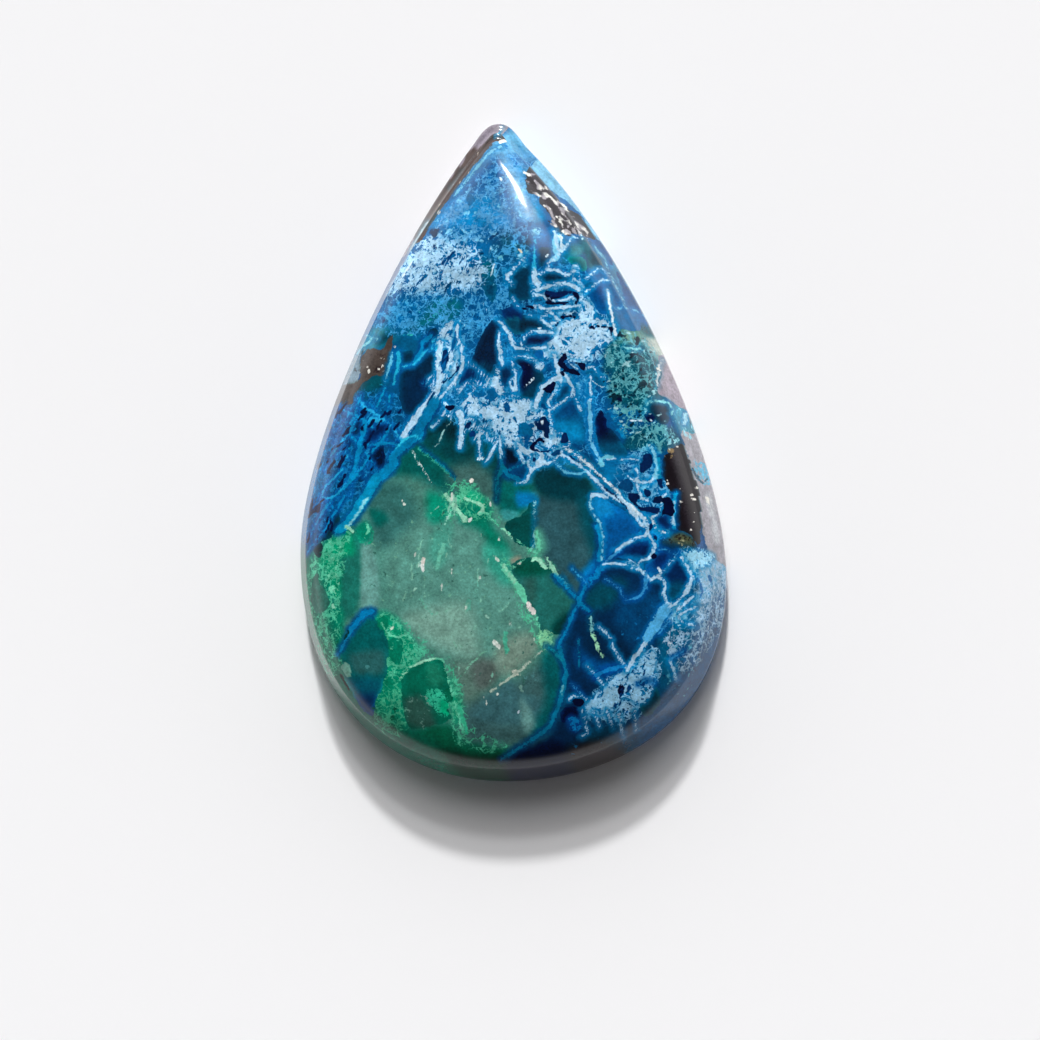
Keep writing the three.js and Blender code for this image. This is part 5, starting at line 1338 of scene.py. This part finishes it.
lace(paint(146, 200, 232), 0.7, 0.3, (4.8, -15.6), (8.6, -12.2), (9.3, -13.4), (8.2, -15.9), (6.4, -16.6))
lace(paint(150, 190, 218), 0.42, 0.4, (13.4, -6.8), (12.8, -11), (10.6, -13.6), (9.6, -11.2), (11, -9),
     (10.6, -6.4))

lace(paint(70, 176, 138), 0.32, 0.4, (-3.4, -2.4), (-1.6, -2.4), (0.4, -5), (2.6, -6.6), (3.2, -7.8),
     (-0.8, -4.6), (-3.4, -4.8))
lace(paint(78, 188, 150), 0.46, 0.4, (-9.4, -4.6), (-10, -9.4), (-10, -13), (-11.4, -13.6), (-12.4, -9),
     (-11.4, -6))
lace(paint(78, 188, 150), 0.46, 0.4, (-7.4, -10), (-5.6, -10.8), (-4, -12.8), (-5.8, -13.4),
     (-7.4, -14.8), (-7, -12))
lace(paint(70, 180, 140), 0.42, 0.4, (-7.8, -14.8), (-6.2, -14.2), (-5.8, -16.8), (-7, -17.4),
     (-8.2, -16.4))
lace(paint(78, 190, 150), 0.42, 0.3, (-3.4, -13), (-2.6, -13.6), (-2, -16.6), (0.2, -18), (-2.8, -17.8))
lace(paint(84, 190, 150), 0.34, 0.3, (0, -6.4), (2.9, -11.4), (2.2, -12), (0.8, -9.4))

# Flat layout for baking: the top with its wall folded outwards, and the back at a smaller size beside it.
BAKE_SIZE = 48.6
BAKE_GAP = 0.6
BACK_SHRINK = 0.5
unfolded = solid[:, :2].copy()
fallen = wall_slant * (1 - solid[:, 2] / wall_top_at(solid[:, 1]))
unfolded[wall] = rim_at(turned[wall], WALL_INSET) + outwards[wall] * fallen[wall, None]
corner = unfolded.min(axis=0) - BAKE_GAP
beside = np.array([unfolded[:, 0].max() + 2 * BAKE_GAP + half_width * BACK_SHRINK, 0.0])
flat = stone_mesh.loops.layers.uv.new("OFBake")
for face in stone_mesh.faces:
    is_back = any(v.index >= back_start for v in face.verts)
    for loop in face.loops:
        if is_back:
            at = solid[loop.vert.index, :2] * BACK_SHRINK + beside
        else:
            at = unfolded[loop.vert.index]
        loop[flat].uv = (at - corner) / BAKE_SIZE

bmesh.ops.scale(stone_mesh, vec=(MM, MM, MM), verts=stone_mesh.verts)
for face in stone_mesh.faces:
    face.smooth = True
mesh = bpy.data.meshes.new("polished_stone")
stone_mesh.to_mesh(mesh)
stone_mesh.free()
stone = bpy.data.objects.new("polished_stone", mesh)
bpy.context.collection.objects.link(stone)
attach(stone, "root")
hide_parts(STONE)

# Each layer goes into the mesh as a colour, with its depth, share or amount beside it.
for name, values in (("ground", np.concatenate([ground, np.ones((len(ground), 1))], 1)), *layers.items()):
    stored = mesh.attributes.new(name, "FLOAT_COLOR", "POINT")
    stored.data.foreach_set("color", values.astype(np.float32).ravel())

# The polish: a hard glassy gloss that the whole stone shares.
look = bpy.data.materials.new("polished_shattuckite")
look.use_nodes = True
nodes, links = look.node_tree.nodes, look.node_tree.links
gloss = nodes["Principled BSDF"]
gloss.inputs["Roughness"].default_value = 0.14
gloss.inputs["IOR"].default_value = 1.5
place = nodes.new("ShaderNodeTexCoord").outputs["Object"]


def wire(node, socket, what):
    """Put a number or another node's result into one socket."""
    if isinstance(what, (int, float)):
        node.inputs[socket].default_value = what
    else:
        links.new(what, node.inputs[socket])


def noise_at(per_metre, detail, roughness, output="Fac", where=place):
    """Fine grain in the rock, as a value or colour around 0.5."""
    texture = nodes.new("ShaderNodeTexNoise")
    texture.inputs["Scale"].default_value = per_metre
    texture.inputs["Detail"].default_value = detail
    texture.inputs["Roughness"].default_value = roughness
    links.new(where, texture.inputs["Vector"])
    return texture.outputs[output]


def combine(operation, *values):
    """One arithmetic step on numbers or results."""
    node = nodes.new("ShaderNodeMath")
    node.operation = operation
    for socket, what in enumerate(values):
        wire(node, socket, what)
    return node.outputs[0]


def step_between(value, low, high, top=1.0):
    """Smooth step from 0 to top while value goes from low to high."""
    node = nodes.new("ShaderNodeMapRange")
    node.interpolation_type = "SMOOTHSTEP"
    for socket, what in (("From Min", low), ("From Max", high), ("To Max", top), ("Value", value)):
        wire(node, socket, what)
    return node.outputs["Result"]


def blend(kind, share, under, over):
    """One colour laid over another."""
    node = nodes.new("ShaderNodeMix")
    node.data_type = "RGBA"
    node.blend_type = kind
    wire(node, 0, share)
    links.new(under, node.inputs[6])
    links.new(over, node.inputs[7])
    return node.outputs[2]


def stored_layer(name):
    """A layer's colour, and the number stored with it."""
    node = nodes.new("ShaderNodeAttribute")
    node.attribute_name = name
    return node.outputs["Color"], node.outputs["Alpha"]


# Cracks that were filled with mineral: walls between irregular cells, bent by the grain.
bend = nodes.new("ShaderNodeVectorMath")
bend.operation = "MULTIPLY_ADD"
links.new(noise_at(1700.0, 3.5, 0.62, "Color"), bend.inputs[0])
bend.inputs[1].default_value = (0.0011, 0.0011, 0.0011)
links.new(place, bend.inputs[2])

slanted = nodes.new("ShaderNodeMapping")
slanted.inputs["Rotation"].default_value = (0.0, 0.0, math.radians(-38))
slanted.inputs["Scale"].default_value = (0.62, 1.0, 1.0)
links.new(bend.outputs[0], slanted.inputs["Vector"])


def crack_distance(per_metre):
    """How far a place is from the nearest crack."""
    texture = nodes.new("ShaderNodeTexVoronoi")
    texture.feature = "DISTANCE_TO_EDGE"
    texture.inputs["Scale"].default_value = per_metre
    links.new(bend.outputs[0], texture.inputs["Vector"])
    return texture.outputs["Distance"]


rough_noise = noise_at(3400.0, 5.0, 0.65)
worm_noise = noise_at(2300.0, 2.5, 0.55, "Fac", slanted.outputs[0])
off_worm = combine("ABSOLUTE", combine("SUBTRACT", worm_noise, 0.5))
fine_noise = noise_at(9000.0, 3.0, 0.6)
edge_grain = combine("MULTIPLY_ADD", rough_noise, 0.2, -0.1)
edge_grain = combine("MULTIPLY_ADD", fine_noise, 0.1, combine("SUBTRACT", edge_grain, 0.05))
edge_grain = combine("MULTIPLY_ADD", noise_at(850.0, 2.0, 0.5), 0.14, combine("SUBTRACT", edge_grain, 0.07))
deeper_tone = nodes.new("ShaderNodeRGB").outputs[0]
deeper_tone.default_value = (0.06, 0.58, 0.76, 1.0)
border_tone = nodes.new("ShaderNodeRGB").outputs[0]
border_tone.default_value = (1.0, 1.5, 1.4, 1.0)
colour, _ = stored_layer("ground")
wall_distance = crack_distance(1600.0)
for name in LAYER_ORDER:
    layer_colour, alpha = stored_layer(name)
    parts = nodes.new("ShaderNodeSeparateColor")
    links.new(layer_colour, parts.inputs["Color"])
    bluish = step_between(combine("SUBTRACT", parts.outputs["Blue"], parts.outputs["Green"]), -0.02, 0.06)
    if name in ("shade", "bloom"):
        noise = noise_at(2000.0 if name == "shade" else 2300.0, 6.0, 0.66)
        limit = combine("MULTIPLY_ADD", alpha, -0.44, 0.72)
        shown = step_between(combine("SUBTRACT", noise, limit), -0.02, 0.05)
    elif name == "lace":
        steady = combine("MULTIPLY_ADD", step_between(noise_at(900.0, 4.0, 0.6), 0.34, 0.62), 0.75, 0.4)
        outside_cells = combine("SUBTRACT", 1.0, inside_cells)
        patchy = combine("MULTIPLY", combine("MULTIPLY", alpha, steady), outside_cells)
        wide = combine("MULTIPLY", patchy, combine("MULTIPLY_ADD", rough_noise, 1.3, -0.46))
        walls = step_between(combine("SUBTRACT", wide, wall_distance), -0.02, 0.02)
        worm_width = combine("MULTIPLY_ADD", patchy, 0.12, -0.03)
        worms = step_between(combine("SUBTRACT", worm_width, off_worm), -0.006, 0.006)
        shown = combine("MULTIPLY", combine("MAXIMUM", walls, worms), step_between(patchy, 0.02, 0.2))
    elif name == "masses":
        inward = combine("MINIMUM", alpha, 0.08)
        wide = combine("MULTIPLY_ADD", inward, 0.8, combine("MULTIPLY_ADD", rough_noise, 0.3, -0.085))
        walls = step_between(combine("SUBTRACT", wide, wall_distance), -0.02, 0.02)
        worm_width = combine("MULTIPLY_ADD", inward, 0.26, 0.042)
        worms = step_between(combine("SUBTRACT", worm_width, off_worm), -0.006, 0.006)
        shown = combine("MAXIMUM", walls, worms)
        depth = alpha
    else:
        depth = combine("ADD", edge_grain, alpha)
        if name == "veins":
            depth = combine("SUBTRACT", depth, 0.015)
        shown = step_between(depth, -0.02, 0.025)
        if name == "veins":
            branches = combine("SUBTRACT", combine("MULTIPLY_ADD", alpha, 0.3, 0.02), off_worm)
            shown = combine("MAXIMUM", shown, step_between(branches, -0.006, 0.006))
        if name == "cells":
            inside_cells = shown
            lighter = blend("MULTIPLY", 1.0, layer_colour, border_tone)
            border = combine("MULTIPLY", step_between(depth, 0.32, 0.0, 0.8), bluish)
            border = combine("MULTIPLY", border, step_between(parts.outputs["Blue"], 0.55, 0.4))
            layer_colour = blend("MIX", border, layer_colour, lighter)
    if name in ("veins", "masses", "lace"):
        glow = blend("MULTIPLY", 1.0, layer_colour, deeper_tone)
        if name != "lace":
            reach = step_between(depth, -0.36, 0.0, 0.8)
        else:
            reach = combine("MULTIPLY", patchy, step_between(wall_distance, 0.5, 0.0, 0.8))
        colour = blend("MIX", combine("MULTIPLY", reach, bluish), colour, glow)
    colour = blend("MIX", shown, colour, layer_colour)

# Fine cloudiness inside every mineral; the colours mix as they look, so they are turned into light last.
cloudy = combine("MULTIPLY_ADD", noise_at(1300.0, 6.0, 0.68), 0.75, 0.62)
fine = combine("MULTIPLY_ADD", noise_at(7000.0, 3.0, 0.65), 0.56, 0.72)
colour = blend("MULTIPLY", 1.0, colour, combine("MULTIPLY", cloudy, fine))
DISPLAY_GAMMA = 2.2
to_light = nodes.new("ShaderNodeGamma")
to_light.inputs["Gamma"].default_value = DISPLAY_GAMMA
links.new(colour, to_light.inputs["Color"])
links.new(to_light.outputs["Color"], gloss.inputs["Base Color"])
stone.data.materials.append(look)

# ---- sheet and light ----
# The stone lies on a plain sheet of matt white paper in a soft pale room. They only show the stone and
# are no part of it, so the sheet is the stage and stays behind when the stone is used.
SHEET_HALF_SIDE = 1.5
sheet_mesh = bmesh.new()
bmesh.ops.create_grid(sheet_mesh, x_segments=1, y_segments=1, size=SHEET_HALF_SIDE)
floor_mesh = bpy.data.meshes.new("sheet")
sheet_mesh.to_mesh(floor_mesh)
sheet_mesh.free()
floor = bpy.data.objects.new("sheet", floor_mesh)
bpy.context.collection.objects.link(floor)
paper = bpy.data.materials.new("matt_paper")
paper.use_nodes = True
matt = paper.node_tree.nodes["Principled BSDF"]
matt.inputs["Base Color"].default_value = (0.91, 0.91, 0.918, 1)
matt.inputs["Roughness"].default_value = 0.9
floor.data.materials.append(paper)

# A tall window of soft light beyond the tip, as two suns one above the other; heights and spreads
# are in degrees.
for height, energy, spread in ((34, 2.3, 4.0), (41, 0.6, 5.0)):
    key_light = bpy.data.lights.new("window", "SUN")
    key_light.energy = energy
    key_light.angle = math.radians(spread)
    key = bpy.data.objects.new("window", key_light)
    bpy.context.collection.objects.link(key)
    towards_key = Vector((0.0, math.cos(math.radians(height)), math.sin(math.radians(height))))
    key.rotation_mode = "QUATERNION"
    key.rotation_quaternion = towards_key.to_track_quat("Z", "Y")

# The room: dark overhead, pale towards the walls, with a wide soft glow above the key light.
world = bpy.data.worlds.new("soft_room")
bpy.context.scene.world = world
world.use_nodes = True
nodes, links = world.node_tree.nodes, world.node_tree.links
direction = nodes.new("ShaderNodeTexCoord")
GLOW_HEIGHT = math.radians(47)


def glow_around(axis, first, last, dim, bright):
    """Brightness that goes from dim to bright with the cosine of the angle to an axis."""
    near_axis = nodes.new("ShaderNodeVectorMath")
    near_axis.operation = "DOT_PRODUCT"
    near_axis.inputs[1].default_value = axis
    links.new(direction.outputs["Generated"], near_axis.inputs[0])
    ramp = nodes.new("ShaderNodeMapRange")
    ramp.interpolation_type = "SMOOTHSTEP"
    for socket, value in (("From Min", first), ("From Max", last), ("To Min", dim), ("To Max", bright)):
        ramp.inputs[socket].default_value = value
    links.new(near_axis.outputs["Value"], ramp.inputs["Value"])
    return ramp.outputs["Result"]


glows = (
    glow_around((0.0, -0.25, 0.97), 0.5, 0.05, 0.04, 1.62),
    glow_around((0.0, math.cos(GLOW_HEIGHT), math.sin(GLOW_HEIGHT)), 0.92, 0.985, 0.0, 3.8),
)
total = glows[0]
for glow in glows[1:]:
    both = nodes.new("ShaderNodeMath")
    both.operation = "ADD"
    links.new(total, both.inputs[0])
    links.new(glow, both.inputs[1])
    total = both.outputs[0]
links.new(total, nodes["Background"].inputs["Strength"])
nodes["Background"].inputs["Color"].default_value = (1.0, 0.99, 1.0, 1)

# ---- camera ----
# It looks down on the stone from a little to the right and the near side.
camera_data = bpy.data.cameras.new("camera")
camera = bpy.data.objects.new("camera", camera_data)
bpy.context.collection.objects.link(camera)
LEAN_RIGHT = math.radians(8)
LEAN_NEAR = math.radians(4)
back_axis = Vector((math.tan(LEAN_RIGHT), -math.tan(LEAN_NEAR), 1.0)).normalized()
right_axis = Vector((0, 1, 0)).cross(back_axis).normalized()
up_axis = back_axis.cross(right_axis)
TARGET = Vector((0.00045, -0.0042, 0.001))
DISTANCE = 0.25
SEEN_WIDTH = 0.0630
SENSOR_MM = 36
camera.matrix_world = Matrix((
    (right_axis.x, up_axis.x, back_axis.x, TARGET.x + back_axis.x * DISTANCE),
    (right_axis.y, up_axis.y, back_axis.y, TARGET.y + back_axis.y * DISTANCE),
    (right_axis.z, up_axis.z, back_axis.z, TARGET.z + back_axis.z * DISTANCE),
    (0, 0, 0, 1),
))
camera_data.sensor_width = SENSOR_MM
camera_data.lens = SENSOR_MM * DISTANCE / SEEN_WIDTH
camera_data.clip_start = 0.01
bpy.context.scene.camera = camera
bpy.context.scene.view_settings.view_transform = "Standard"
